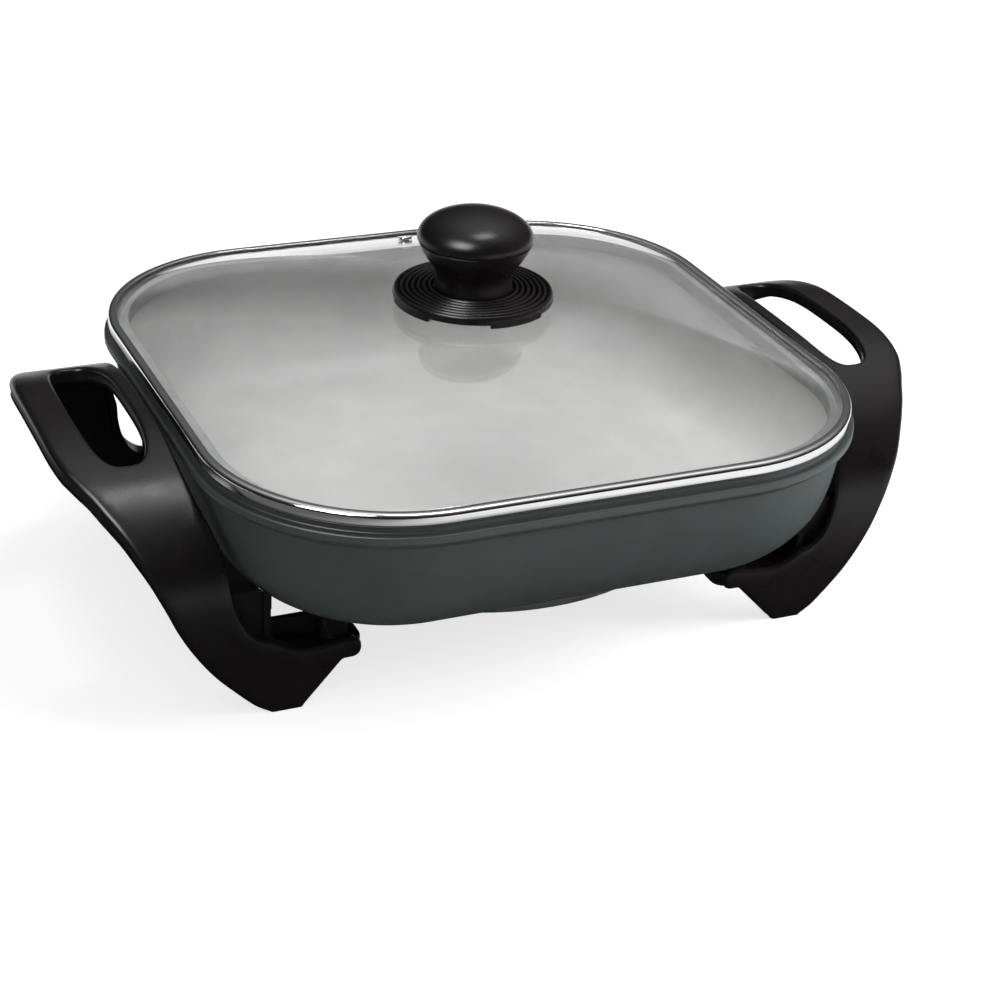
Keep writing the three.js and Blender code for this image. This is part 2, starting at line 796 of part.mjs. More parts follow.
function handleLeg() {
  const outer = splineThrough(
    sharesToPoints(outerEdgeShares, footOuterX, gripOuterX, gripTop), edgeSteps,
  );
  const inner = splineThrough(
    sharesToPoints(innerEdgeShares, lipEndX, handleInnerX, gripTop), edgeSteps,
  );
  const outline = [
    new THREE.Vector2(gripOuterX + overrun, 0),
    new THREE.Vector2(gripOuterX + overrun, gripTop + overrun),
    new THREE.Vector2(handleInnerX, gripTop + overrun),
    ...inner,
    new THREE.Vector2(lipEndX + lipRound / 2, lipTop),
    new THREE.Vector2(lipEndX, lipTop - lipRound),
    new THREE.Vector2(lipEndX, lipUnderside + lipRound),
    new THREE.Vector2(lipEndX + lipRound, lipUnderside),
    new THREE.Vector2(instepX, lipUnderside),
    new THREE.Vector2(footInnerX, 0),
  ];
  const wide = footOuterY + overrun;
  const whole = solid(sweptAlongY(outline, -wide, wide));
  const innerStrip = solid(sweptAlongY(stripBeside(inner, flangeWall), -wide, wide));
  const stations = archStations(outer);
  const face = alongArch(stations, (reach) => [
    [reach - flangeWall, legFace],
    [lipEndX - overrun, legFace],
    [lipEndX - overrun, 0],
    [reach - legEdgeRound, 0],
    [reach, legEdgeRound],
    [reach, outerFlangeDepth],
    [reach - flangeWall, outerFlangeDepth],
  ]);
  const deepBand = alongArch(stations, (reach) => [
    [reach - flangeWall, innerFlangeDepth],
    [lipEndX - overrun, innerFlangeDepth],
    [lipEndX - overrun, 0],
    [reach - flangeWall, 0],
  ]);
  const tools = [handHole(), panEnvelope(2 * gap)];
  for (const side of Object.values(frontAndBack)) {
    const at = [handleScrewX, side * handleScrewY, 0];
    const drilled = cylinder(handleScrewRadius + gap, 0, panUnderside);
    const counterbore = cylinder(counterboreRadius, 0, lipUnderside + counterboreDepth);
    tools.push(solid(drilled.translate(...at)), solid(counterbore.translate(...at)));
  }
  const arch = face.intersect(whole).add(deepBand.intersect(innerStrip).intersect(whole));
  return cut(joined([arch, ...shelf(-1), ...shelf(1)]), tools);
}

function handleFasteners() {
  const seat = lipUnderside + counterboreDepth;
  const headTop = seat - 2 * gap - washerThickness;
  const screw = turned([
    [0, headTop - handleScrewHeadHeight],
    [handleScrewHeadRadius - gap, headTop - handleScrewHeadHeight],
    [handleScrewHeadRadius, headTop - handleScrewHeadHeight / 2],
    [handleScrewHeadRadius, headTop],
    [handleScrewRadius, headTop],
    [handleScrewRadius, panBossUnderside + handleScrewEngagement],
    [0, panBossUnderside + handleScrewEngagement],
  ], smallRoundSteps);
  const ring = washer(handleScrewRadius + gap, washerRadius, headTop + gap, seat - gap);
  return { screw, ring };
}

function addHandles() {
  const leg = geometryOf(handleLeg());
  const { screw, ring } = handleFasteners();
  for (const [side, x] of Object.entries(leftAndRight)) {
    addPiece(`${side}_handle_leg`, mirrored(leg, x), darkBrown);
    for (const [place, y] of Object.entries(frontAndBack)) {
      const at = [x * handleScrewX, y * handleScrewY, 0];
      addPiece(`${side}_handle_screw_${place}`, screw.clone().translate(...at), steel);
      addPiece(`${side}_handle_washer_${place}`, ring.clone().translate(...at), steel);
    }
  }
}

// Lid

// Height of the glass's outer face, and the corner place of its ring, at a half width.
function glassHeight(half) {
  const span = glassFlangeHalfWidth - glassLandRadius;
  const out = THREE.MathUtils.clamp((half - glassLandRadius) / span, 0, 1);
  return glassCrown - (glassCrown - glassEdgeHeight) * out ** 2;
}

function glassRing(half, height) {
  const roundUntil = glassRoundShare * glassHalfWidth;
  const round = THREE.MathUtils.smoothstep(half, roundUntil, glassFlangeHalfWidth);
  return squareRing(half, cornerCentre * round, height);
}

// Stands a turned piece on the pane's slope at the vent.
function ventPlaced(geometry) {
  const slope = (glassHeight(ventY + gap) - glassHeight(ventY - gap)) / (2 * gap);
  return geometry.rotateX(Math.atan(slope)).translate(ventX, ventY, glassHeight(ventY));
}

function addGlass() {
  const halves = [0, glassLandRadius];
  for (let step = 1; step <= glassSteps; step += 1) {
    halves.push(glassLandRadius + step / glassSteps * (glassFlangeHalfWidth - glassLandRadius));
  }
  halves.push(glassHalfWidth);
  const top = halves.map((half) => glassRing(half, glassHeight(half)));
  const bottom = halves.map((half) => glassRing(half, glassHeight(half) - glassThickness)).reverse();
  const screwHole = cylinder(glassHoleRadius, 0, overallHeight);
  const ventHole = ventPlaced(cylinder(ventBarrelRadius + gap, -glassThickness - overrun, overrun));
  const pane = solid(lofted([...top, ...bottom]));
  addPiece('lid_glass', cut(pane, [solid(screwHole), solid(ventHole)]), glass);
}

function addLidRim() {
  const outer = lidRimWidth / 2;
  const lipEdge = outer - lidRimLip;
  const skirtOuter = lidSkirtWidth / 2;
  const skirtInner = skirtOuter - lidRimSheet;
  const profile = [
    [outer, lidRimUnderside],
    [outer, lidRimTop - lidRimRound],
    [outer - lidRimRound, lidRimTop],
    [lipEdge, lidRimTop],
    [lipEdge, lidRimTop - lidRimSheet],
    [outer - lidRimSheet, lidRimTop - lidRimSheet],
    [outer - lidRimSheet, lidRimUnderside + lidRimSheet],
    [skirtInner, lidRimUnderside + lidRimSheet],
    [skirtInner, lidSkirtUnderside],
    [skirtOuter, lidSkirtUnderside],
    [skirtOuter, lidRimUnderside],
  ];
  addPiece('lid_rim', squareLoft([...profile, profile[0]]), chrome);
}

function addVent() {
  const below = -glassThickness - gap;
  const bottom = below - gap - ventWasherThickness;
  const bore = ventBore / 2;
  const profile = [
    [bore, ventFlange + gap],
    [ventFlangeRadius - ventFlange / 2, ventFlange + gap],
    [ventFlangeRadius, gap + ventFlange / 2],
    [ventFlangeRadius, gap],
    [ventBarrelRadius, gap],
    [ventBarrelRadius, bottom - gap],
    [ventWasherRadius - gap, bottom - gap],
    [ventWasherRadius - gap, bottom - ventFlange],
    [bore, bottom - ventFlange],
  ];
  addPiece('vent_grommet', ventPlaced(turned([...profile, profile[0]], smallRoundSteps)), chrome);
  const ring = washer(ventBarrelRadius + gap, ventWasherRadius, below - ventWasherThickness, below);
  addPiece('vent_washer', ventPlaced(ring), silicone);
}

// Knob

function addKnob() {
  const boreTop = insertTop + gap;
  const dome = [];
  const domeSteps = smallRoundSteps / 2;
  for (let step = 0; step <= domeSteps; step += 1) {
    const angle = step / domeSteps * Math.PI / 2;
    dome.push([
      knobRadius * Math.sin(angle),
      knobWidestHeight + (overallHeight - knobWidestHeight) * Math.cos(angle),
    ]);
  }
  const flare = new THREE.SplineCurve([
    new THREE.Vector2(knobRadius - knobCrease, knobWidestHeight - 3 * knobCrease),
    new THREE.Vector2(
      (knobRadius + knobNeckRadius) / 2 + knobCrease,
      (knobWidestHeight + knobNeckHeight) / 2,
    ),
    new THREE.Vector2(knobNeckRadius, knobNeckHeight),
    new THREE.Vector2(knobFootRadius, knobSeatHeight),
  ]).getPoints(smallRoundSteps / 2).map((point) => [point.x, point.y]);
  addPiece('knob', turned([
    ...dome,
    [knobRadius, knobWidestHeight - knobCrease],
    [knobRadius - 2 * knobCrease, knobWidestHeight - 1.5 * knobCrease],
    [knobRadius - 2 * knobCrease, knobWidestHeight - 2 * knobCrease],
    ...flare,
    [insertRadius + gap, knobSeatHeight],
    [insertRadius + gap, boreTop],
    [0, boreTop],
  ]), darkBrown);
  addPiece('knob_insert', turned([
    [0, insertTop],
    [insertRadius, insertTop],
    [insertRadius, insertBottom],
    [knobScrewRadius + gap, insertBottom],
    [knobScrewRadius + gap, insertFloorHeight],
    [0, insertFloorHeight],
  ], smallRoundSteps), brass);
}

function notchTool(turn) {
  const half = THREE.MathUtils.degToRad(discNotchDegrees) / 2;
  const outline = [];
  for (let step = 0; step <= discNotchSteps; step += 1) {
    const angle = turn - half + step / discNotchSteps * 2 * half;
    const reach = discRadius + overrun;
    outline.push(new THREE.Vector2(reach * Math.cos(angle), reach * Math.sin(angle)));
  }
  for (let step = discNotchSteps; step >= 0; step -= 1) {
    const angle = turn - half + step / discNotchSteps * 2 * half;
    const reach = discHubRadius + gap;
    outline.push(new THREE.Vector2(reach * Math.cos(angle), reach * Math.sin(angle)));
  }
  return solid(sweptUp(outline, discUnderside - overrun, discUnderside + discNotchHeight));
}

function addKnobDisc() {
  const hubTop = knobSeatHeight - gap;
  const pitch = (discRadius - discRidgeStart) / discRidgeCount;
  const ridges = [];
  for (let ridge = discRidgeCount - 1; ridge >= 0; ridge -= 1) {
    const inner = discRidgeStart + ridge * pitch;
    ridges.push([inner + pitch - discRidgeDepth, discTop]);
    ridges.push([inner + discRidgeDepth, discTop]);
    ridges.push([inner, discTop - discRidgeDepth]);
  }
  const bore = knobScrewRadius + gap;
  const profile = [
    [discRadius, discUnderside],
    [discRadius, discTop - discRidgeDepth],
    ...ridges,
    [discRidgeStart - gap, hubTop],
    [bore, hubTop],
    [bore, discUnderside],
    [discHubRadius, discUnderside],
    [discHubRadius, discTop - discRidgeDepth - discSheet],
    [discRadius - discSkirtWall, discTop - discRidgeDepth - discSheet],
    [discRadius - discSkirtWall, discUnderside],
  ];
  const notches = [];
  const firstTurn = THREE.MathUtils.degToRad(discNotchTurnDegrees);
  for (let notch = 0; notch < discNotchCount; notch += 1) {
    notches.push(notchTool(firstTurn + notch / discNotchCount * 2 * Math.PI));
  }
  addPiece('knob_base_disc', cut(solid(turned([...profile, profile[0]])), notches), darkBrown);
}

function addKnobFasteners() {
  const glassUnderside = glassCrown - glassThickness;
  const bore = knobScrewRadius + gap;
  const upper = glassCrown + gap;
  addPiece('knob_seal_upper', washer(bore, sealRadius, upper, upper + sealThickness), silicone);
  const lower = glassUnderside - gap;
  addPiece('knob_seal_lower', washer(bore, sealRadius, lower - sealThickness, lower), silicone);
  const plateTop = lower - sealThickness - gap;
  const plateBottom = plateTop - washerThickness;
  addPiece('knob_washer', washer(bore, knobWasherRadius, plateBottom, plateTop), steel);
  const headTop = plateBottom - gap;
  const headBottom = headTop - knobScrewHeadHeight;
  const tip = knobSeatHeight + knobScrewShare * knobHeight;
  addPiece('knob_screw', turned([
    [0, headBottom],
    [knobScrewHeadRadius - gap, headBottom],
    [knobScrewHeadRadius, headBottom + knobScrewHeadHeight / 2],
    [knobScrewHeadRadius, headTop],
    [knobScrewRadius, headTop],
    [knobScrewRadius, tip],
    [0, tip],
  ], smallRoundSteps), steel);
}

addPan();
addHeaterRing();
addHeater();
addGuard();
addHandles();
addGlass();
addLidRim();
addVent();
addKnob();
addKnobDisc();
addKnobFasteners();

export default skillet;
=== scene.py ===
"""An electric skillet with a lift-off glass lid: its looks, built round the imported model.

Lengths are millimetres here, and become metres where a mesh is made.
"""

import json
import math

import bmesh
import bpy
import numpy as np
from mathutils import Matrix, Vector
from mathutils.geometry import delaunay_2d_cdt

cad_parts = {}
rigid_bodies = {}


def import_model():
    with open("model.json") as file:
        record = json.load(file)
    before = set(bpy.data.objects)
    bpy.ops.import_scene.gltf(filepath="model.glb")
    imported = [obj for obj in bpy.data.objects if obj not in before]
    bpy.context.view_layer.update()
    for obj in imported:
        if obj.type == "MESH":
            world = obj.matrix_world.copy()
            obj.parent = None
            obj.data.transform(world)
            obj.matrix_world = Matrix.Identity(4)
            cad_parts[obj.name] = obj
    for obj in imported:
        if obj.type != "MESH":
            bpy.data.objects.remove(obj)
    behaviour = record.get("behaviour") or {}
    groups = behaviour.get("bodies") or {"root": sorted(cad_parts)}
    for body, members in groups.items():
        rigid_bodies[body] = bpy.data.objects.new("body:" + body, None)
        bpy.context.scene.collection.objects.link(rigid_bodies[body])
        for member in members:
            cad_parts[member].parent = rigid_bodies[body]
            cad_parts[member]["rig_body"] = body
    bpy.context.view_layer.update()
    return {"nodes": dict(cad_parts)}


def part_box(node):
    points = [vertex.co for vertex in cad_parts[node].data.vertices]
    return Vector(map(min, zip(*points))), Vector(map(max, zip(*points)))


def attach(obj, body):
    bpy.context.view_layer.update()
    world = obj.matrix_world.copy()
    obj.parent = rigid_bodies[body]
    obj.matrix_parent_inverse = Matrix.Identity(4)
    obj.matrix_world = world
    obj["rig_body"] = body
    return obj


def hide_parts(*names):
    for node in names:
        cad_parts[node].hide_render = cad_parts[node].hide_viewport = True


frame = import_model()

MM = 0.001

# The camera stands where the photograph was taken from
CAMERA_PLACE = (-392.07, -889.70, 532.92)
CAMERA_RIGHT = (0.91676, -0.39652, 0.04802)
CAMERA_UP = (0.14281, 0.43768, 0.88771)
CAMERA_BACK = (-0.37301, -0.80697, 0.45789)
CAMERA_LENS = 82.413
CAMERA_SENSOR = 36


def corners(node):
    """Lowest and highest corner of a node of the frame, in millimetres."""
    low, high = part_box(node)
    return low / MM, high / MM


PAN_HIGH = corners("pan_body")[1]
RING_LOW, RING_HIGH = corners("heater_ring")
RIM_LOW, RIM_HIGH = corners("lid_rim")
GLASS_HIGH = corners("lid_glass")[1]
VENT_LOW, VENT_HIGH = corners("vent_grommet")
KNOB_LOW, KNOB_HIGH = corners("knob")
DISC_LOW, DISC_HIGH = corners("knob_base_disc")
LEG_HIGH = corners("right_handle_leg")[1]
GUARD_LOW, GUARD_HIGH = corners("probe_guard")
ELEMENT_LOW, ELEMENT_HIGH = corners("heating_element")

# Shared clearances and facet counts
GAP = 0.3
OVERRUN = 5
WELD = 0.0005
SAME_PLACE = 1e-6
ALONG_X = Matrix.Rotation(math.pi / 2, 4, "Y")
CORNER_STEPS = 22
ROUND_STEPS = 96
SMALL_STEPS = 40
CURVE_STEPS = 240
FILLET_STEPS = 5
FILLET_REACH = 0.48
STRAIGHT = 0.01
SHARP_DEGREES = 38
GLASS_SHARP_DEGREES = 50

# Pan
RIM_HALF = PAN_HIGH.x
SEAT_TOP = PAN_HIGH.z
CORNER_CENTRE = RIM_HALF - 85.4
PAN_UNDERSIDE = RING_HIGH.z + GAP
PAN_BOTTOM_HALF = 112
FLOOR_THICKNESS = 5
FLOOR_TOP = PAN_UNDERSIDE + FLOOR_THICKNESS
BODY_HALF = RIM_HALF - 4.4
PAN_WALL = 6
FLOOR_INSET = 4
SEAT_INSET = 3.9
SHOULDER_TOP = SEAT_TOP - 2.7
PAN_RIM_UNDERSIDE = SHOULDER_TOP - 3.4
BODY_TOP = PAN_RIM_UNDERSIDE - 4
RIM_RIDGE = 1.4
PAN_ROUND = 1
PAN_SIDE_SHARES = [
    (0, 0), (0.2, 0.035), (0.36, 0.095), (0.52, 0.175), (0.69, 0.3), (0.84, 0.46), (0.94, 0.7),
    (1, 1),
]
PAN_SIDE_STEPS = 28

# Heater ring under the pan
RING_WIDTH = 18.4
RING_ROUND = 1.5
ELEMENT_RADIUS = 3.6
ELEMENT_HEIGHT = (ELEMENT_LOW.z + ELEMENT_HIGH.z) / 2
ELEMENT_CIRCLE = RING_HIGH.y - RING_WIDTH / 2
ELEMENT_BEND = 10
ELEMENT_SIDES = 20
BEND_STEPS = 14
CIRCLE_STEPS = 70
LEAD_Y = 14
PIN_TIP = [(1, 2), (0.75, 0.5), (0.4, 0), (0, 0)]
BUSH_ROUND = 0.5
PROBE_RIB_START = 30
PROBE_RIB_HALF = 8
PROBE_BORE_START = 45
PROBE_BORE_RADIUS = 3.5

# Guard round the pins
GUARD_START = ELEMENT_HIGH.x + 4
GUARD_HALF = 27
GUARD_WALL = 2
GUARD_ROUND = 4
GUARD_PAD_UNDERSIDE = PAN_UNDERSIDE - 3
GUARD_PAD_RADIUS = 5
EAR_TOP = GUARD_PAD_UNDERSIDE - GAP
EAR_THICKNESS = 2
EAR_WIDTH = 13
EAR_ROUND = 4
GUARD_SCREW = np.array((GUARD_START - 12, GUARD_HALF + 6))
GUARD_SCREW_RADIUS = 1.6
GUARD_BORE = GUARD_SCREW_RADIUS + GAP
GUARD_HOLE_TOP = PAN_UNDERSIDE + 1.2
BUSH_RADIUS = 4.6

# Handle legs
GRIP_TOP = LEG_HIGH.z
HANDLE_INNER_X = RIM_HALF + 3.1
FOOT_OUTER_X = RIM_HALF - 22.2
FOOT_INNER_X = FOOT_OUTER_X - 14.9
FOOT_OUTER_Y = 101.8
LEG_FACE = 5
LEG_ROUND = 1.9
GRIP_ROUND = 3.4
FLANGE_ROUND = 0.7
FLANGE_WALL = 3.2
HOLE_WALL = 2.2
OUTER_FLANGE = 8
INNER_FLANGE = 12
EDGE_BEAD = LEG_FACE + 1.6
LIP_END_X = FOOT_INNER_X - 27
LIP_UNDERSIDE = 19.2
LIP_TOP = LIP_UNDERSIDE + 9.8
LIP_ROUND = 4.7
LIP_BLEND = 1.2 * LIP_TOP
INSTEP_X = LIP_END_X + 8.7
FOOT_RUN = 16
FOOT_ROUND = 6
FOOT_ROUNDS = [0, LIP_ROUND, LIP_ROUND, LIP_ROUND / 2, LIP_ROUND / 2, FOOT_ROUND, FOOT_ROUND, 0]
ARCH_SHARES = [
    (0, 1), (0.1, 0.9995), (0.2, 0.997), (0.3, 0.989), (0.4, 0.973), (0.48, 0.954), (0.54, 0.935),
    (0.61, 0.908), (0.68, 0.872), (0.745, 0.832), (0.8, 0.79), (0.85, 0.74), (0.892, 0.687),
    (0.92, 0.636), (0.94, 0.58), (0.956, 0.51), (0.967, 0.41), (0.979, 0.28), (0.991, 0.14),
    (1, 0),
]
OUTER_EDGE_SHARES = [
    (0, 0), (0.085, 0.037), (0.2, 0.113), (0.303, 0.189), (0.399, 0.279), (0.478, 0.372),
    (0.541, 0.471), (0.593, 0.559), (0.656, 0.659), (0.717, 0.745), (0.77, 0.805), (0.82, 0.851),
    (0.864, 0.89), (0.916, 0.925), (0.96, 0.952), (0.984, 0.974), (0.996, 0.99), (1, 1),
]
INNER_EDGE_SHARES = [
    (1, 1), (0.995, 0.94), (0.966, 0.86), (0.905, 0.76), (0.862, 0.66), (0.842, 0.54),
    (0.815, 0.453), (0.76, 0.378), (0.675, 0.33), (0.59, 0.31), (0.5, 0.276), (0.38, 0.254),
    (0.24, 0.256), (0.14, 0.264),
]
OUTLINE_STEP = 1.6
FACE_STEP = 3.2
FACE_CLEAR = 0.6 * FACE_STEP
EDGE_STEPS = 4
FLANGE_STEPS = 3
SMOOTHINGS = 5

# Hand holes
HOLE_LENGTH = 102
HOLE_WIDTH = 26.5
GRIP_WIDTH = 16.9
HOLE_POWER = 3
HOLE_STEPS = 880

# Shelves under the pan
SCREW_X = LIP_END_X + 9.7
SCREW_Y = FOOT_OUTER_Y - 13.8
SHELF_END_X = LIP_END_X - 1.8
SHELF_LENGTH = 43
SHELF_TOP = LIP_UNDERSIDE + 7.3
SHELF_INNER_Y = SCREW_Y - 9
SHELF_ROUND = 6
SHELF_BEVEL = 0.8
BEVEL_DEGREES = 40
RIB_Y = SCREW_Y - 4
RIB_TOP = PAN_UNDERSIDE - 4.4
RIB_THICKNESS = 3
SHIELD_X = FOOT_OUTER_X - 2.2
SHIELD_THICKNESS = 3
SHIELD_END_Y = GUARD_HALF + 2
SHIELD_UNDERSIDE = 24
WEB_END_X = SHIELD_X + 16
WEB_Y = FOOT_OUTER_Y - 17.5
WEB_WIDTH = 9
WEB_TOP = SHIELD_UNDERSIDE + 32
PILLAR_RADIUS = 7
BOSS_RADIUS = 6
BOSS_UNDERSIDE = PAN_UNDERSIDE - 3.6
SCREW_RADIUS = 2.2
SCREW_BORE = SCREW_RADIUS + GAP
COUNTERBORE_RADIUS = 5.6
COUNTERBORE_TOP = LIP_UNDERSIDE + 6
PIP_RADIUS = 1.3
PIP_PLACE = np.array((FOOT_OUTER_X - 4.2, SCREW_Y - 2))
PIP_UNDERSIDE = PAN_UNDERSIDE + 1
PIP_TOP = FLOOR_TOP + FLOOR_THICKNESS

# Lid
LID_HALF = RIM_HIGH.x
LID_RIM_UNDERSIDE = SEAT_TOP + GAP
SHEET = 0.8
RIM_LIP = 4.1
SKIRT_HALF = BODY_HALF - PAN_WALL - 1.3
LID_ROUND = 2.1
LID_FOOT_ROUND = 1.7
SHEET_ROUND = 0.35
GLASS_THICKNESS = 4
GLASS_EDGE = RIM_HIGH.z - SHEET - GAP
GLASS_FLANGE_HALF = GLASS_HIGH.x - 4
GLASS_LAND = 16
GLASS_HOLE = 4
GLASS_STEPS = 44
GLASS_ROUND_SHARE = 0.3
VENT_X = (VENT_LOW.x + VENT_HIGH.x) / 2
VENT_Y = LID_HALF - 35.5
VENT_BORE = 1.4
VENT_BARREL = 2.3
VENT_FLANGE_RADIUS = 3.75
VENT_FLANGE = 1.4
VENT_ROUNDS = [0.5, 0.5, 0.2, 0, 0, 0.15, 0.3, 0.15]
SEAL_THICKNESS = 0.6
SEAL_ROUND = 0.15

# Knob
KNOB_WIDEST = KNOB_HIGH.z - 12.8
KNOB_NECK = 17.8
KNOB_NECK_HEIGHT = KNOB_LOW.z + 7.8
KNOB_FOOT = 17.9
KNOB_CREASE = 0.7
CREASE = [(0, 0), (0, 1), (2, 1.5), (2, 2), (1, 3)]
CREASE_ROUND = 0.3
DOME_STEPS = 29
FLARE_STEPS = 36
INSERT_RADIUS = 5
INSERT_LENGTH = 14.4
INSERT_END = 3.7
INSERT_ROUND = 0.4
DISC_TOP = DISC_LOW.z + 5.4
DISC_SHEET = 2.4
DISC_SKIRT = 2
DISC_HUB = 13
DISC_EDGE = 0.3
DISC_STEP = 0.4
RIDGE_COUNT = 7
RIDGE_STEPS = 8
RIDGE_POWER = 0.6
RIDGE_DEPTH = 2
RIDGE_RISE = 1.4
RIDGE_START = 18.8
NOTCH_COUNT = 4
NOTCH_DEGREES = 46
NOTCH_TURN_DEGREES = 57
NOTCH_HEIGHT = 1.8
NOTCH_STEPS = 24
KNOB_SCREW_RADIUS = 2.1
KNOB_BORE = KNOB_SCREW_RADIUS + GAP

# Screws and washers. A screw's shares are of its head's radius
HEAD_DEPTH_SHARE = 0.75
HEAD_ROUND_SHARE = 0.45
RECESS_ARM_SHARE = 0.14
RECESS_REACH_SHARE = 0.62
RECESS_DEPTH_SHARE = 0.45
SCREW_TIP = 0.6
SCREW_ROUNDS = [0.15, 0.1, 0.1, 0.1]
WASHER_ROUND = 0.2

# Where noise is spread over a material's two colours and its two levels of roughness
COLOUR_SPAN = (0.35, 0.65)
ROUGHNESS_SPAN = (0.3, 0.7)

# Room. A span is (from, to, low, high), and the floor's are in metres
BRIGHT_SIDE = (0.25, 0.25, 0.935)
GLOSS_LEVELS = [(0.4, 0.015), (0.96, 1.0), (0.72, 0.12), (0.86, 0.4)]
LIT_SIDE = (-0.2, 0.25, 0.947)
LIT_SPAN = (0.4, 1.0, 0.03, 2.6)
HORIZON_SPAN = (0.12, 0.3, 0.0, 1.0)
LIGHT_STRENGTH = 0.56
FLOOR_HALF = 6000
FLOOR_SEEN = 0.5
FLOOR_GLOW = 0.72
FLOOR_PALE = 0.86
# The floor's gloss spans paint a shadow round the skillet, which only reflections show
FLOOR_ACROSS = (-0.35, 0.15, 0.12, 1.0)
FLOOR_AWAY = (0.24, 0.36, 0.03, 1.0)
FLOOR_BEHIND = (0.22, 0.4, 0.0, 1.0)
LAMP_TARGET = (0, 0, 80)


def new_object(name, data):
    made = bpy.data.objects.new(name, data)
    bpy.context.scene.collection.objects.link(made)
    return made


def make_camera():
    data = bpy.data.cameras.new("camera")
    data.lens = CAMERA_LENS
    data.sensor_width = CAMERA_SENSOR
    camera = new_object("camera", data)
    turn = Matrix((CAMERA_RIGHT, CAMERA_UP, CAMERA_BACK)).transposed().to_4x4()
    camera.matrix_world = Matrix.Translation(Vector(CAMERA_PLACE) * MM) @ turn
    bpy.context.scene.camera = camera


# Outlines


def spline(points, steps):
    """Points along a smooth curve through the given ones."""
    points = np.asarray(points, float)
    last = len(points) - 1
    found = []
    for place in np.linspace(0, last, steps + 1):
        i = min(int(place), last - 1)
        t = place - i
        before, start, end, after = (points[min(max(i + k, 0), last)] for k in (-1, 0, 1, 2))
        leave, reach = (end - before) / 2, (after - start) / 2
        cubic = 2 * start - 2 * end + leave + reach
        square = 3 * end - 3 * start - 2 * leave - reach
        found.append(cubic * t**3 + square * t**2 + leave * t + start)
    return np.array(found)


def curve(shares, start, end, steps):
    """A smooth curve through places given as shares of the way between two corners."""
    return spline(start + np.array(shares) * np.subtract(end, start), steps)


def filleted(points, radius, closed=True):
    """An outline with rounded corners. They share a radius, or each has its own."""
    points = np.array(points, float)
    count = len(points)
    radii = np.broadcast_to(radius, count)
    found = []
    for i, corner in enumerate(points):
        if radii[i] <= 0 or not closed and i in (0, count - 1):
            found.append(corner)
            continue
        back = points[i - 1] - corner
        ahead = points[(i + 1) % count] - corner
        back_length, ahead_length = np.linalg.norm(back), np.linalg.norm(ahead)
        back, ahead = back / back_length, ahead / ahead_length
        half_angle = math.acos(np.clip(back @ ahead, -1, 1)) / 2
        turn = math.pi - 2 * half_angle
        if turn < STRAIGHT:
            found.append(corner)
            continue
        longest = FILLET_REACH * min(back_length, ahead_length)
        run = min(radii[i] / math.tan(half_angle), longest)
        centre = corner + (back + ahead) * run / (2 * math.cos(half_angle) ** 2)
        start, end = corner + back * run - centre, corner + ahead * run - centre
        for t in np.linspace(0, 1, FILLET_STEPS + 1):
            spoke = math.sin((1 - t) * turn) * start + math.sin(t * turn) * end
            found.append(centre + spoke / math.sin(turn))
    return np.array(found)


def resampled(points, step):
    """A closed line with points about a step apart."""
    loop = np.vstack([points, points[:1]])
    lengths = np.concatenate([[0], np.cumsum(np.linalg.norm(np.diff(loop, axis=0), axis=1))])
    count = int(round(lengths[-1] / step))
    places = np.linspace(0, lengths[-1], count, endpoint=False)
    return np.column_stack([np.interp(places, lengths, loop[:, k]) for k in range(2)])


def directions(start, end, count, endpoint=True):
    """Unit directions in a plane, from one angle to another."""
    angles = np.linspace(start, end, count, endpoint)
    return np.column_stack([np.cos(angles), np.sin(angles)])


def headings(points):
    """Unit directions along an open line, at each of its points."""
    along = np.gradient(points, axis=0)
    return along / np.linalg.norm(along, axis=1)[:, None]


def sideways(points):
    """Unit normals to the left of a closed line."""
    along = np.roll(points, -1, axis=0) - np.roll(points, 1, axis=0)
    along /= np.linalg.norm(along, axis=1)[:, None]
    return np.column_stack([-along[:, 1], along[:, 0]])


def inside(points, outline):
    """Which points lie inside a closed outline."""
    x, y = points[:, 0], points[:, 1]
    found = np.zeros(len(points), bool)
    for (x0, y0), (x1, y1) in zip(outline, np.roll(outline, -1, axis=0)):
        if y0 != y1:
            crosses = (y0 > y) != (y1 > y)
            found ^= crosses & (x < (x1 - x0) * (y - y0) / (y1 - y0) + x0)
    return found


def rounded_box(low, high, radius):
    """A rectangle between two corners, with its own corners rounded."""
    return filleted([(low[0], low[1]), (high[0], low[1]), (high[0], high[1]), (low[0], high[1])],
                    radius)


# Meshes


def mesh_piece(name, points, faces):
    """A new object from points in millimetres, welded, with its faces pointing out."""
    mesh = bpy.data.meshes.new(name)
    mesh.from_pydata([tuple(p) for p in np.asarray(points) * MM], [], faces)
    body = bmesh.new()
    body.from_mesh(mesh)
    bmesh.ops.remove_doubles(body, verts=body.verts, dist=WELD * MM)
    bmesh.ops.dissolve_degenerate(body, dist=WELD * MM, edges=body.edges)
    bmesh.ops.recalc_face_normals(body, faces=body.faces)
    body.to_mesh(mesh)
    body.free()
    return new_object(name, mesh)


def band(here, there, count):
    """Faces between two rings of a mesh, given by the number of each one's first point."""
    return [(here + i, here + (i + 1) % count, there + (i + 1) % count, there + i)
            for i in range(count)]


def skin(name, rings, closed=False):
    """A skin over rings of points. An open one gets a face on each end ring."""
    count = len(rings[0])
    faces = []
    for row in range(len(rings) if closed else len(rings) - 1):
        faces += band(row * count, (row + 1) % len(rings) * count, count)
    if not closed:
        for row in (0, len(rings) - 1):
            if np.ptp(rings[row], axis=0).max() > WELD:
                faces.append(tuple(row * count + i for i in range(count)))
    return mesh_piece(name, np.concatenate(rings), faces)


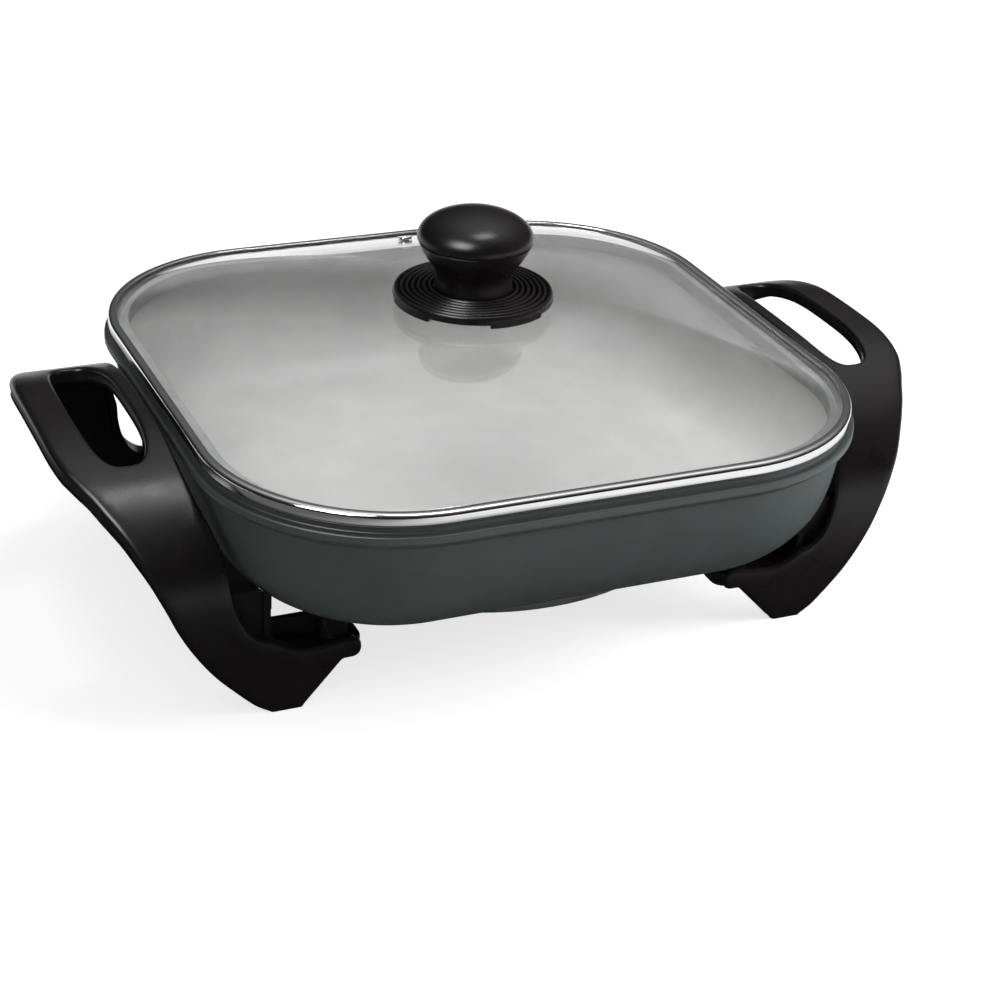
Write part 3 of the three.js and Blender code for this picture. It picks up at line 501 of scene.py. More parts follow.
def turned(name, profile, steps=SMALL_STEPS, closed=False):
    """A turned solid about Z from (radius, height) points."""
    circle = directions(0, 2 * math.pi, steps, endpoint=False)
    rings = [np.insert(circle * radius, 2, height, axis=1) for radius, height in profile]
    return skin(name, rings, closed)


def rod(radius, bottom, top, x=0, y=0):
    """A round upright tool at a place in the plan."""
    tool = turned("tool", [(0, bottom), (radius, bottom), (radius, top), (0, top)])
    return moved(tool, (x, y, 0))


def square_ring(half, centre, height):
    """A square ring of points with round corners."""
    reach = min(centre, half)
    corner = (reach, reach) + (half - reach) * directions(0, math.pi / 2, CORNER_STEPS + 1)
    ring = []
    for _ in range(4):
        ring.append(corner)
        corner = np.column_stack([-corner[:, 1], corner[:, 0]])
    return np.insert(np.vstack(ring), 2, height, axis=1)


def square_skin(name, profile, closed=False):
    rings = [square_ring(half, CORNER_CENTRE, height) for half, height in profile]
    return skin(name, rings, closed)


def square_reach(point):
    """How far out a point lies, as the half width of the rounded square through it."""
    over = [max(abs(v) - CORNER_CENTRE, 0) for v in point.xy]
    return CORNER_CENTRE + math.hypot(*over)


def prism(name, outline, low, high, axis=2):
    """An outline swept between two places along an axis. It is in the other two axes."""
    return skin(name, [np.insert(outline, axis, place, axis=1) for place in (low, high)])


def block(low, high, rounding=0.0):
    """A box between two corners, with its upright edges rounded."""
    return prism("tool", rounded_box(low, high, rounding), low[2], high[2])


def moved(piece, offset=(0, 0, 0), turn=None):
    """Moves the points of a piece, after turning them about the origin."""
    if turn is not None:
        piece.data.transform(turn)
    piece.data.transform(Matrix.Translation(Vector(offset) * MM))
    return piece


def flip(piece, axis):
    """Mirrors the points of a piece along an axis."""
    piece.data.transform(Matrix.Scale(-1, 4, axis))
    piece.data.flip_normals()


def mirrored(piece, name):
    """A copy of a piece on the other side of the middle."""
    copy = new_object(name, piece.data.copy())
    flip(copy, (1, 0, 0))
    return copy


def settled(piece):
    """Applies a piece's modifiers to its mesh."""
    bpy.context.view_layer.update()
    graph = bpy.context.evaluated_depsgraph_get()
    mesh = bpy.data.meshes.new_from_object(piece.evaluated_get(graph))
    piece.modifiers.clear()
    piece.data = mesh
    return piece


def combined(piece, tools, how):
    """Joins tools to a piece, or cuts them from it."""
    for tool in tools:
        step = piece.modifiers.new("boolean", "BOOLEAN")
        step.operation = how
        step.solver = "MANIFOLD"
        step.object = tool
    settled(piece)
    for tool in tools:
        bpy.data.objects.remove(tool)


def cut(piece, tools):
    combined(piece, tools, "DIFFERENCE")


def bevelled(piece, width):
    step = piece.modifiers.new("bevel", "BEVEL")
    step.width = width * MM
    step.segments = 2
    step.limit_method = "ANGLE"
    step.angle_limit = math.radians(BEVEL_DEGREES)
    return settled(piece)


def finished(piece, node, *materials, sharp_degrees=SHARP_DEGREES):
    """Shades a piece and puts it in a node's place."""
    piece.data.polygons.foreach_set("use_smooth", [True] * len(piece.data.polygons))
    piece.data.set_sharp_from_angle(angle=math.radians(sharp_degrees))
    piece.data.materials.clear()
    for material in materials:
        piece.data.materials.append(material)
    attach(piece, frame["nodes"][node]["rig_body"])
    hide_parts(node)
    return piece


# Materials


def add_node(tree, kind, inputs, output=0, **settings):
    """An output of a new shader node. The node's inputs get a value or a link each."""
    node = tree.nodes.new("ShaderNode" + kind)
    for setting, value in settings.items():
        setattr(node, setting, value)
    for key, value in inputs.items():
        if isinstance(value, bpy.types.NodeSocket):
            tree.links.new(value, node.inputs[key])
        else:
            node.inputs[key].default_value = value
    return node.outputs[output]


def add_ramp(tree, factor, levels):
    """A colour ramp through (position, colour) pairs, the two ends first."""
    ramp = add_node(tree, "ValToRGB", {"Fac": factor})
    elements = ramp.node.color_ramp.elements
    for i, (position, colour) in enumerate(levels):
        element = elements[i] if i < 2 else elements.new(position)
        element.position = position
        element.color = (*colour, 1)
    return ramp


def spanned(tree, value, span, kind="SMOOTHSTEP"):
    """A value taken from one span to another, given as (from, to, low, high)."""
    inputs = dict(zip(("From Min", "From Max", "To Min", "To Max"), span), Value=value)
    return add_node(tree, "MapRange", inputs, interpolation_type=kind)


def surface(name, colour, roughness, grain=None, **sockets):
    """A material whose colour, roughness and grain follow noise, each given as the noise's
    (scale per metre, detail, roughness) and then two limits. The grain's are the bump's
    strength and its depth in millimetres."""
    material = bpy.data.materials.new(name)
    material.use_nodes = True
    tree = material.node_tree
    shader = tree.nodes["Principled BSDF"]
    for socket, value in sockets.items():
        shader.inputs[socket.replace("_", " ")].default_value = value

    def noise(scale, detail, rough=0.5):
        place = add_node(tree, "TexCoord", {}, "Object")
        return add_node(tree, "TexNoise", {
            "Vector": place, "Scale": scale, "Detail": detail, "Roughness": rough,
        })

    blend, *colours = colour
    shade = add_ramp(tree, noise(*blend), list(zip(COLOUR_SPAN, colours)))
    tree.links.new(shade, shader.inputs["Base Color"])
    blend, *limits = roughness
    level = spanned(tree, noise(*blend), (*ROUGHNESS_SPAN, *limits), "LINEAR")
    tree.links.new(level, shader.inputs["Roughness"])
    if grain:
        blend, strength, depth = grain
        bump = add_node(tree, "Bump", {
            "Strength": strength, "Distance": depth * MM, "Height": noise(*blend),
        })
        tree.links.new(bump, shader.inputs["Normal"])
    return material


def coating(name, dark, light, low, high, strength):
    """A sprayed coating with a fine grain."""
    return surface(name, ((40, 6, 0.7), dark, light), ((90, 4), low, high),
                   ((1300, 2), strength, 0.12))


def metal(name, dark, light, low, high, strength=0.05, scale=600):
    return surface(name, ((60, 4), dark, light), ((150, 4), low, high),
                   ((scale, 2), strength, 0.05), Metallic=1.0)


# Pan


def pan_side(bottom_half, top_half, bottom):
    """The curved side of the pan, outside or inside, from its bottom up."""
    return curve(PAN_SIDE_SHARES, (bottom_half, bottom), (top_half, BODY_TOP), PAN_SIDE_STEPS)


def pan_outside(clearance=0.0):
    """The pan's outer profile from its underside to its shoulder."""
    side = pan_side(PAN_BOTTOM_HALF, BODY_HALF, PAN_UNDERSIDE)
    rim = filleted([
        side[-1], (RIM_HALF - RIM_RIDGE, PAN_RIM_UNDERSIDE - RIM_RIDGE),
        (RIM_HALF, PAN_RIM_UNDERSIDE), (RIM_HALF, SHOULDER_TOP),
        (RIM_HALF - SEAT_INSET, SHOULDER_TOP),
    ], PAN_ROUND, closed=False)
    outside = np.vstack([side[:-1], rim[:-1]])
    along = headings(outside)
    return outside + clearance * np.column_stack([along[:, 1], -along[:, 0]])


def pan_envelope():
    """The room that the legs leave for the pan and for the lid's way up."""
    outside = pan_outside(2 * GAP)
    top = [(outside[-1][0], GRIP_TOP + OVERRUN), (0, GRIP_TOP + OVERRUN)]
    return square_skin("tool", [(0, PAN_UNDERSIDE - 2 * GAP), *outside, *top])


def element_line():
    """The element's line, in from one terminal, round the circle and out to the other."""
    bend_reach = ELEMENT_CIRCLE + ELEMENT_BEND
    start = math.asin((LEAD_Y + ELEMENT_BEND) / bend_reach)
    bend_x = bend_reach * math.cos(start)
    bend_y = LEAD_Y + ELEMENT_BEND
    half = np.vstack([
        (ELEMENT_HIGH.x, LEAD_Y),
        (bend_x, bend_y) + ELEMENT_BEND * directions(-math.pi / 2, start - math.pi, BEND_STEPS),
        ELEMENT_CIRCLE * directions(start, math.pi, CIRCLE_STEPS)[1:],
    ])
    return np.vstack([half, half[-2::-1] * (1, -1)])


def flat_tube(name, line, radius, height):
    """A round tube along a flat line."""
    out, up = radius * directions(0, 2 * math.pi, ELEMENT_SIDES, endpoint=False).T
    return skin(name, [np.column_stack([x + ahead_y * out, y - ahead_x * out, height + up])
                       for (x, y), (ahead_x, ahead_y) in zip(line, headings(line))])


def element_channel():
    """What is cut from the ring for the element: its tube and the way in from below."""
    wide = ELEMENT_RADIUS + GAP
    line = element_line()
    line[[0, -1], 0] += OVERRUN
    tube = flat_tube("tool", line, wide, ELEMENT_HEIGHT)
    low, high = RING_LOW.z - OVERRUN, ELEMENT_HEIGHT
    rings = []
    for (x, y), (ahead_x, ahead_y) in zip(line, wide * headings(line)):
        left, right = (x - ahead_y, y + ahead_x), (x + ahead_y, y - ahead_x)
        rings.append(np.array([(*left, low), (*left, high), (*right, high), (*right, low)]))
    return [tube, skin("tool", rings)]


def make_pan(outer, inner, dark):
    inner_top = BODY_HALF - PAN_WALL
    wall = pan_side(PAN_BOTTOM_HALF - FLOOR_INSET, inner_top, FLOOR_TOP)[::-1]
    seat_edge = RIM_HALF - SEAT_INSET
    seat = filleted([
        (RIM_HALF - 1.5 * PAN_ROUND, SHOULDER_TOP), (seat_edge, SHOULDER_TOP),
        (seat_edge, SEAT_TOP), (inner_top, SEAT_TOP), wall[0],
    ], PAN_ROUND, closed=False)
    profile = [(0, PAN_UNDERSIDE), *pan_outside(), *seat[:-1], *wall, (0, FLOOR_TOP)]
    pan = square_skin("pan", profile)
    sunk = PAN_UNDERSIDE + FLOOR_THICKNESS / 2
    added, holes = [], []

    for y in (-1, 1):
        place = GUARD_SCREW * (1, y)
        added.append(rod(GUARD_PAD_RADIUS, GUARD_PAD_UNDERSIDE, sunk, *place))
        holes.append(rod(GUARD_BORE, GUARD_PAD_UNDERSIDE - OVERRUN, GUARD_HOLE_TOP, *place))
        for x in (-1, 1):
            place = (x * SCREW_X, y * SCREW_Y)
            added.append(rod(BOSS_RADIUS, BOSS_UNDERSIDE, sunk, *place))
            holes.append(rod(SCREW_BORE, BOSS_UNDERSIDE - OVERRUN, sunk, *place))
            added.append(rod(PIP_RADIUS, PIP_UNDERSIDE, PIP_TOP, *PIP_PLACE * (x, y)))
    combined(pan, added, "UNION")
    cut(pan, holes)
    finished(pan, "pan_body", outer, inner, dark)
    for face in pan.data.polygons:
        centre = face.center / MM
        near_pip = math.dist((abs(centre.x), abs(centre.y)), PIP_PLACE) < PIP_RADIUS + WELD
        lined = (centre.z >= FLOOR_TOP - GAP and square_reach(centre) < inner_top
                 and centre.xy.dot(face.normal.xy) <= GAP)
        # The pips' faces below PIP_TOP take the near-black plastic as painted shade, for the
        # shadow under the pan
        face.material_index = 2 if near_pip and centre.z < PIP_TOP else int(lined)


# Heater and guard


def make_heater_ring(cast):
    top = PAN_UNDERSIDE - GAP
    inner_radius = RING_HIGH.y - RING_WIDTH
    ring = turned("ring", filleted([
        (inner_radius, top), (inner_radius, RING_LOW.z),
        (RING_HIGH.y, RING_LOW.z), (RING_HIGH.y, top),
    ], [0, RING_ROUND, RING_ROUND, 0]), ROUND_STEPS, closed=True)
    rib = block((PROBE_RIB_START, -PROBE_RIB_HALF, RING_LOW.z),
                (PAN_BOTTOM_HALF, PROBE_RIB_HALF, top), PROBE_RIB_HALF / 2)
    bore = rod(PROBE_BORE_RADIUS, PROBE_BORE_START, PAN_BOTTOM_HALF + OVERRUN)
    moved(bore, (0, 0, ELEMENT_HEIGHT), ALONG_X)
    combined(ring, [rib], "UNION")
    cut(ring, [*element_channel(), bore])
    finished(ring, "heater_ring", cast)


def make_heater(sheath, steel, ceramic):
    element = flat_tube("element", element_line(), ELEMENT_RADIUS, ELEMENT_HEIGHT)
    finished(element, "heating_element", sheath)
    for place in ("front", "back"):
        node = f"terminal_pin_{place}"
        low, high = corners(node)
        radius = (high.y - low.y) / 2
        middle = (0, *((low + high) / 2).yz)
        tip = [(share * radius, high.x - back) for share, back in PIN_TIP]
        pin = turned(f"{node}_shape", [(0, low.x), (radius, low.x), *tip])
        finished(moved(pin, middle, ALONG_X), node, steel)
        node = f"terminal_bush_{place}"
        low, high = corners(node)
        section = rounded_box((radius + GAP, low.x), ((high.y - low.y) / 2, high.x), BUSH_ROUND)
        bush = turned(f"{node}_shape", section, closed=True)
        finished(moved(bush, middle, ALONG_X), node, ceramic)


def make_guard(steel):
    def tube(name, wall, start, end):
        half, radius = GUARD_HALF - wall, GUARD_ROUND - wall
        section = rounded_box((-half, GUARD_LOW.z + wall), (half, GUARD_HIGH.z - wall), radius)
        return prism(name, section, start, end, axis=0)

    shell = tube("guard", 0, GUARD_START, GUARD_HIGH.x)
    room = tube("tool", GUARD_WALL, GUARD_START + GUARD_WALL, GUARD_HIGH.x + OVERRUN)
    cut(shell, [room])
    ears, holes = [], []
    for side in (-1, 1):
        near = side * (GUARD_HALF - GUARD_WALL)
        near, far = sorted((near, near + side * EAR_WIDTH))
        ears.append(block((GUARD_LOW.x, near, EAR_TOP - EAR_THICKNESS),
                          (GUARD_START + GUARD_WALL, far, EAR_TOP), EAR_ROUND / 2))
        holes.append(rod(GUARD_BORE, GUARD_LOW.z, GUARD_HIGH.z, *GUARD_SCREW * (1, side)))
    for y, radius in ((LEAD_Y, BUSH_RADIUS), (-LEAD_Y, BUSH_RADIUS), (0, PROBE_BORE_RADIUS)):
        hole = rod(radius + GAP, GUARD_START - OVERRUN, GUARD_START + OVERRUN)
        holes.append(moved(hole, (0, y, ELEMENT_HEIGHT), ALONG_X))
    combined(shell, ears, "UNION")
    cut(shell, holes)
    finished(shell, "probe_guard", steel)


# Handle legs


class Arch:
    """The curve that a leg's face follows from the top of the grip to a foot."""

    def __init__(self):
        half = curve(ARCH_SHARES, (0, 0), (FOOT_OUTER_Y, GRIP_TOP), CURVE_STEPS)
        half = np.vstack([half, (FOOT_OUTER_Y, -FOOT_RUN)])
        steps = np.linalg.norm(np.diff(half, axis=0), axis=1)
        self.along = np.concatenate([[0], np.cumsum(steps)])
        self.y, self.z = half[:, 0], half[:, 1]
        ahead = np.column_stack([np.gradient(self.y, self.along), np.gradient(self.z, self.along)])
        ahead /= np.linalg.norm(ahead, axis=1)[:, None]
        self.in_y, self.in_z = ahead[:, 1], -ahead[:, 0]

    def at_height(self, z):
        return np.interp(z, self.z[::-1], self.along[::-1])

    def at_width(self, y):
        grip = slice(CURVE_STEPS // 2)
        return np.sign(y) * np.interp(np.abs(y), self.y[grip], self.along[grip])

    def place(self, flat, depth):
        """Points of the leg from (x, distance along the arch) and a depth under its face."""
        side, far = np.sign(flat[:, 1]), np.abs(flat[:, 1])
        y, z, in_y, in_z = (np.interp(far, self.along, line)
                            for line in (self.y, self.z, self.in_y, self.in_z))
        return np.column_stack([flat[:, 0], side * (y + in_y * depth), z + in_z * depth])


def leg_outline(arch):
    """The leg's outline in (x, distance along the arch), and at each of its points the depth
    of the flange and the rounding of the edge."""
    outer = curve(OUTER_EDGE_SHARES, (FOOT_OUTER_X, 0), (LEG_HIGH.x, GRIP_TOP), CURVE_STEPS)
    inner = curve(INNER_EDGE_SHARES, (LIP_END_X, 0), (HANDLE_INNER_X, GRIP_TOP), CURVE_STEPS)
    foot = filleted([
        inner[-1], (LIP_END_X, LIP_TOP), (LIP_END_X, LIP_UNDERSIDE), (INSTEP_X, LIP_UNDERSIDE),
        (FOOT_INNER_X, 0), (FOOT_INNER_X, -FOOT_RUN), (FOOT_OUTER_X, -FOOT_RUN),
        (FOOT_OUTER_X, 0),
    ], FOOT_ROUNDS, closed=False)

    def unrolled(edge, end, steps):
        """The edge's points, even along the arch from its top down to a height."""
        far = np.linspace(0, arch.at_height(end), steps)[:-1]
        height = np.interp(far, arch.along, arch.z)
        return np.column_stack([np.interp(height, edge[:, 1], edge[:, 0]), far])

    turn = np.argmin(np.abs(inner[:, 1] - LIP_BLEND))
    upper = unrolled(inner[turn::-1], inner[turn, 1], CURVE_STEPS)
    lower = np.vstack([inner[turn:], foot[1:]])
    inner_half = np.vstack([upper, np.column_stack([lower[:, 0], arch.at_height(lower[:, 1])])])
    outer_half = unrolled(outer, 0, 2 * CURVE_STEPS)
    back = (1, -1)
    loop = resampled(np.vstack([
        inner_half[::-1] * back, inner_half[1:], outer_half[::-1], (outer_half * back)[1:],
    ]), OUTLINE_STEP)
    x, far = loop[:, 0], np.abs(loop[:, 1])
    inner_x, outer_x = (np.interp(far, edge[:, 1], edge[:, 0])
                        for edge in (inner_half[:CURVE_STEPS], outer_half))
    on_outer = x > outer_x - GAP
    below = far > arch.at_height(LIP_TOP + GAP)
    near_lip = (x < INSTEP_X + OVERRUN) | below & (x < inner_x)
    depth = np.where(on_outer, OUTER_FLANGE, np.where(near_lip, EDGE_BEAD, INNER_FLANGE))
    height = np.clip(np.interp(far, arch.along, arch.z) / GRIP_TOP, 0, 1)
    rounding = LEG_ROUND + on_outer * height * (GRIP_ROUND - LEG_ROUND)
    for _ in range(SMOOTHINGS):
        depth, rounding = ((np.roll(v, 1) + v + np.roll(v, -1)) / 3 for v in (depth, rounding))
    return loop, depth, rounding


def hole_outline(arch):
    """The hand hole's outline, in the same flat places."""
    round_loop = directions(0, 2 * math.pi, HOLE_STEPS, endpoint=False)
    x, y = (np.sign(round_loop) * np.abs(round_loop) ** (2 / HOLE_POWER)).T
    middle = LEG_HIGH.x - GRIP_WIDTH - HOLE_WIDTH / 2
    loop = np.column_stack([middle + HOLE_WIDTH / 2 * x, arch.at_width(HOLE_LENGTH / 2 * y)])
    loop = resampled(loop, OUTLINE_STEP)[::-1]
    return loop, np.full(len(loop), EDGE_BEAD), np.full(len(loop), LEG_ROUND)


def quarter(radius, steps):
    """(inset, depth) points of a rounded edge, from the face to the side."""
    return [(radius * (1 - out), radius * (1 - up))
            for up, out in directions(0, math.pi / 2, steps + 1)]


def flat_grid(outer, hole):
    """Triangles and even points over the space between a loop and a convex one in it."""
    grid = np.meshgrid(*(np.arange(low, high, FACE_STEP)
                         for low, high in zip(outer.min(0), outer.max(0))))
    grid = np.column_stack([axis.ravel() for axis in grid])
    grid = grid[inside(grid, outer) & ~inside(grid, hole)]
    border = np.vstack([outer, hole])
    near = np.array([np.min(np.hypot(*(border - point).T)) for point in grid])
    points = np.vstack([border, grid[near > FACE_CLEAR]])
    edges = []
    for start, loop in ((0, outer), (len(outer), hole)):
        edges += [(start + i, start + (i + 1) % len(loop)) for i in range(len(loop))]
    flat = [Vector(point) for point in points]
    _, _, faces, sources, *_ = delaunay_2d_cdt(flat, edges, [], 1, SAME_PLACE)
    faces = [tuple(sources[i][0] for i in face) for face in faces]
    first, last = len(outer), len(border)
    return points, [face for face in faces if not all(first <= i < last for i in face)]


def leg_shell(arch):
    """The leg's moulded face with its rounded edges and the flanges behind them."""
    edges = [(*leg_outline(arch), FLANGE_WALL, True), (*hole_outline(arch), HOLE_WALL, False)]
    points, faces, top_loops, bottom_loops = [], [], [], []
    start = 0
    for loop, depth, rounding, wall, inwards in edges:
        count = len(loop)
        normals = sideways(loop)
        if inside(loop[:1] + normals[:1] * GAP, loop)[0] != inwards:
            normals = -normals
        flange = quarter(FLANGE_ROUND, FLANGE_STEPS)
        section = quarter(rounding, EDGE_STEPS)
        section += [(down, depth - inset) for inset, down in flange[::-1]]
        section += [(wall - inset, depth - down) for inset, down in flange]
        section += [(wall, np.full(count, LEG_FACE + FLANGE_ROUND)),
                    (wall + FLANGE_ROUND, np.full(count, LEG_FACE))]
        rings = [(loop + normals * np.reshape(inset, (-1, 1)), down) for inset, down in section]
        for row, (flat, down) in enumerate(rings):
            points.append(arch.place(flat, down))
            if row:
                faces += band(start + (row - 1) * count, start + row * count, count)
        start += len(rings) * count
        top_loops.append(rings[0][0])
        bottom_loops.append(rings[-1][0])
    for loops, depth in ((top_loops, 0), (bottom_loops, LEG_FACE)):
        flat, cells = flat_grid(*loops)
        points.append(arch.place(flat, depth))
        faces += [tuple(start + i for i in cell) for cell in cells]
        start += len(flat)
    return mesh_piece("right_leg", np.vstack(points), faces)


def shelf(side):
    """The shelf under the pan at one foot, with its rib, shield and pillar. A front one also
    has a web that closes the view past the shield."""
    far = FOOT_OUTER_Y - LEG_FACE
    shield_outer = SHIELD_X + SHIELD_THICKNESS
    plan = filleted([
        (SHELF_END_X + SHELF_LENGTH, SHELF_INNER_Y), (SHELF_END_X + SHELF_LENGTH, far),
        (SHELF_END_X, far), (SHELF_END_X, SHELF_INNER_Y),
    ], [0, 0, SHELF_ROUND, SHELF_ROUND])
    pieces = [
        bevelled(prism("tool", plan, LIP_UNDERSIDE, SHELF_TOP), SHELF_BEVEL),
        block((SHELF_END_X + SHELF_ROUND, RIB_Y, SHIELD_UNDERSIDE),
              (shield_outer, RIB_Y + RIB_THICKNESS, RIB_TOP)),
        block((SHIELD_X, SHIELD_END_Y, SHIELD_UNDERSIDE),
              (shield_outer, far - SHIELD_THICKNESS / 2, PAN_RIM_UNDERSIDE)),
        rod(PILLAR_RADIUS, LIP_UNDERSIDE, BOSS_UNDERSIDE - GAP, SCREW_X, SCREW_Y),
    ]
    if side > 0:
        return pieces
    pieces.append(block((SHIELD_X + GAP, WEB_Y, SHIELD_UNDERSIDE + GAP),
                        (WEB_END_X, WEB_Y + WEB_WIDTH, WEB_TOP)))
    for piece in pieces:
        flip(piece, (0, 1, 0))
    return pieces


def make_legs(plastic):
    leg = leg_shell(Arch())
    combined(leg, shelf(-1) + shelf(1), "UNION")
    wide = FOOT_OUTER_Y + 2 * OVERRUN
    tools = [pan_envelope(), block((0, -wide, -FOOT_RUN - OVERRUN), (LEG_HIGH.x, wide, 0))]
    for side in (-1, 1):
        tools.append(rod(SCREW_BORE, 0, PAN_UNDERSIDE, SCREW_X, side * SCREW_Y))
        tools.append(rod(COUNTERBORE_RADIUS, 0, COUNTERBORE_TOP, SCREW_X, side * SCREW_Y))
    cut(leg, tools)
    other = mirrored(leg, "left_leg")
    finished(leg, "right_handle_leg", plastic)
    finished(other, "left_handle_leg", plastic)


# Lid


def glass_height(half):
    """How high the top of the glass lies on a square ring of that half width."""
    out = np.clip((half - GLASS_LAND) / (GLASS_FLANGE_HALF - GLASS_LAND), 0, 1)
    return GLASS_HIGH.z - (GLASS_HIGH.z - GLASS_EDGE) * out**2


def glass_ring(half, drop):
    """A ring of the glass, round near the knob and square at the rim."""
    start = GLASS_ROUND_SHARE * GLASS_HIGH.x
    share = np.clip((half - start) / (GLASS_FLANGE_HALF - start), 0, 1)
    smooth = share * share * (3 - 2 * share)
    return square_ring(half, CORNER_CENTRE * smooth, glass_height(half) - drop)


def on_vent(piece):
    """Moves a piece to the vent and tilts it with the glass there."""
    slope = (glass_height(VENT_Y + GAP) - glass_height(VENT_Y - GAP)) / (2 * GAP)
    turn = Matrix.Rotation(math.atan(slope), 4, "X")
    return moved(piece, (VENT_X, VENT_Y, glass_height(VENT_Y)), turn)


def make_glass(glass):
    halves = [0.0, *np.linspace(GLASS_LAND, GLASS_FLANGE_HALF, GLASS_STEPS), GLASS_HIGH.x]
    top = [glass_ring(half, 0) for half in halves]
    bottom = [glass_ring(half, GLASS_THICKNESS) for half in halves][::-1]
    pane = skin("glass_pane", top + bottom)
    screw_hole = rod(GLASS_HOLE, 0, KNOB_HIGH.z)
    vent_hole = on_vent(rod(VENT_BARREL + GAP, -GLASS_THICKNESS - OVERRUN, OVERRUN))
    cut(pane, [screw_hole, vent_hole])
    finished(pane, "lid_glass", glass, sharp_degrees=GLASS_SHARP_DEGREES)


def make_lid_rim(chrome, rim_shade_steel):
    lip_edge = LID_HALF - RIM_LIP
    inner_skirt = SKIRT_HALF - SHEET
    profile = filleted([
        (LID_HALF, LID_RIM_UNDERSIDE), (LID_HALF, RIM_HIGH.z), (lip_edge, RIM_HIGH.z),
        (lip_edge, RIM_HIGH.z - SHEET), (LID_HALF - SHEET, RIM_HIGH.z - SHEET),
        (LID_HALF - SHEET, LID_RIM_UNDERSIDE + SHEET), (inner_skirt, LID_RIM_UNDERSIDE + SHEET),
        (inner_skirt, RIM_LOW.z), (SKIRT_HALF, RIM_LOW.z),
        (SKIRT_HALF, LID_RIM_UNDERSIDE),
    ], [LID_FOOT_ROUND, LID_ROUND, SHEET_ROUND, SHEET_ROUND, SHEET, SHEET_ROUND, SHEET,
        SHEET_ROUND, SHEET_ROUND, SHEET_ROUND])
    rim = finished(square_skin("rim", profile, closed=True), "lid_rim", chrome, rim_shade_steel)
    # Faces under the glass take the darker steel as painted shade inside the rim
    for face in rim.data.polygons:
        centre = face.center / MM
        under_glass = centre.z < RIM_HIGH.z - 2 * SHEET
        face.material_index = int(under_glass and square_reach(centre) < LID_HALF - 2 * SHEET)


def make_vent(chrome, rubber):
    seal = corners("vent_washer")[1].x - VENT_X
    below = -GLASS_THICKNESS - GAP
    bottom = below - SEAL_THICKNESS - 2 * GAP
    profile = filleted([
        (VENT_BORE, VENT_FLANGE + GAP), (VENT_FLANGE_RADIUS, VENT_FLANGE + GAP),
        (VENT_FLANGE_RADIUS, GAP), (VENT_BARREL, GAP), (VENT_BARREL, bottom),
        (seal - GAP, bottom), (seal - GAP, bottom - VENT_FLANGE + GAP),
        (VENT_BORE, bottom - VENT_FLANGE + GAP),
    ], VENT_ROUNDS)
    finished(on_vent(turned("vent", profile, closed=True)), "vent_grommet", chrome)
    ring = rounded_box((VENT_BARREL + GAP, below - SEAL_THICKNESS), (seal, below), SEAL_ROUND)
    finished(on_vent(turned("vent_seal", ring, closed=True)), "vent_washer", rubber)


# Knob


def make_knob(plastic, brass):
    insert_bottom = KNOB_LOW.z + GAP
    insert_top = insert_bottom + INSERT_LENGTH
    dome = [(KNOB_HIGH.x * out, KNOB_WIDEST + (KNOB_HIGH.z - KNOB_WIDEST) * up)
            for up, out in directions(0, math.pi / 2, DOME_STEPS + 1)]
    crease = filleted((KNOB_HIGH.x, KNOB_WIDEST) - KNOB_CREASE * np.array(CREASE), CREASE_ROUND,
                      closed=False)
    flare = spline([
        crease[-1],
        ((KNOB_HIGH.x + KNOB_NECK) / 2 + KNOB_CREASE, (KNOB_WIDEST + KNOB_NECK_HEIGHT) / 2),
        (KNOB_NECK, KNOB_NECK_HEIGHT), (KNOB_FOOT, KNOB_LOW.z),
    ], FLARE_STEPS)
    wide, top = INSERT_RADIUS + GAP, insert_top + GAP
    bore = [(wide, KNOB_LOW.z), (wide, top), (0, top)]
    knob = turned("knob_cap", [*dome[:-1], *crease, *flare[1:], *bore], ROUND_STEPS)
    finished(knob, "knob", plastic)
    floor = insert_top - INSERT_END
    insert = turned("knob_insert_shape", filleted([
        (0, insert_top), (INSERT_RADIUS, insert_top), (INSERT_RADIUS, insert_bottom),
        (KNOB_BORE, insert_bottom), (KNOB_BORE, floor), (0, floor),
    ], INSERT_ROUND, closed=False))
    finished(insert, "knob_insert", brass)


def notch(turn):
    """What is cut from the disc's lower edge for one notch."""
    half = math.radians(NOTCH_DEGREES) / 2
    arc = directions(turn - half, turn + half, NOTCH_STEPS)
    outline = np.vstack([arc * (DISC_HIGH.x + OVERRUN), arc[::-1] * (DISC_HUB + GAP)])
    return prism("tool", outline, DISC_LOW.z - OVERRUN, DISC_LOW.z + NOTCH_HEIGHT)


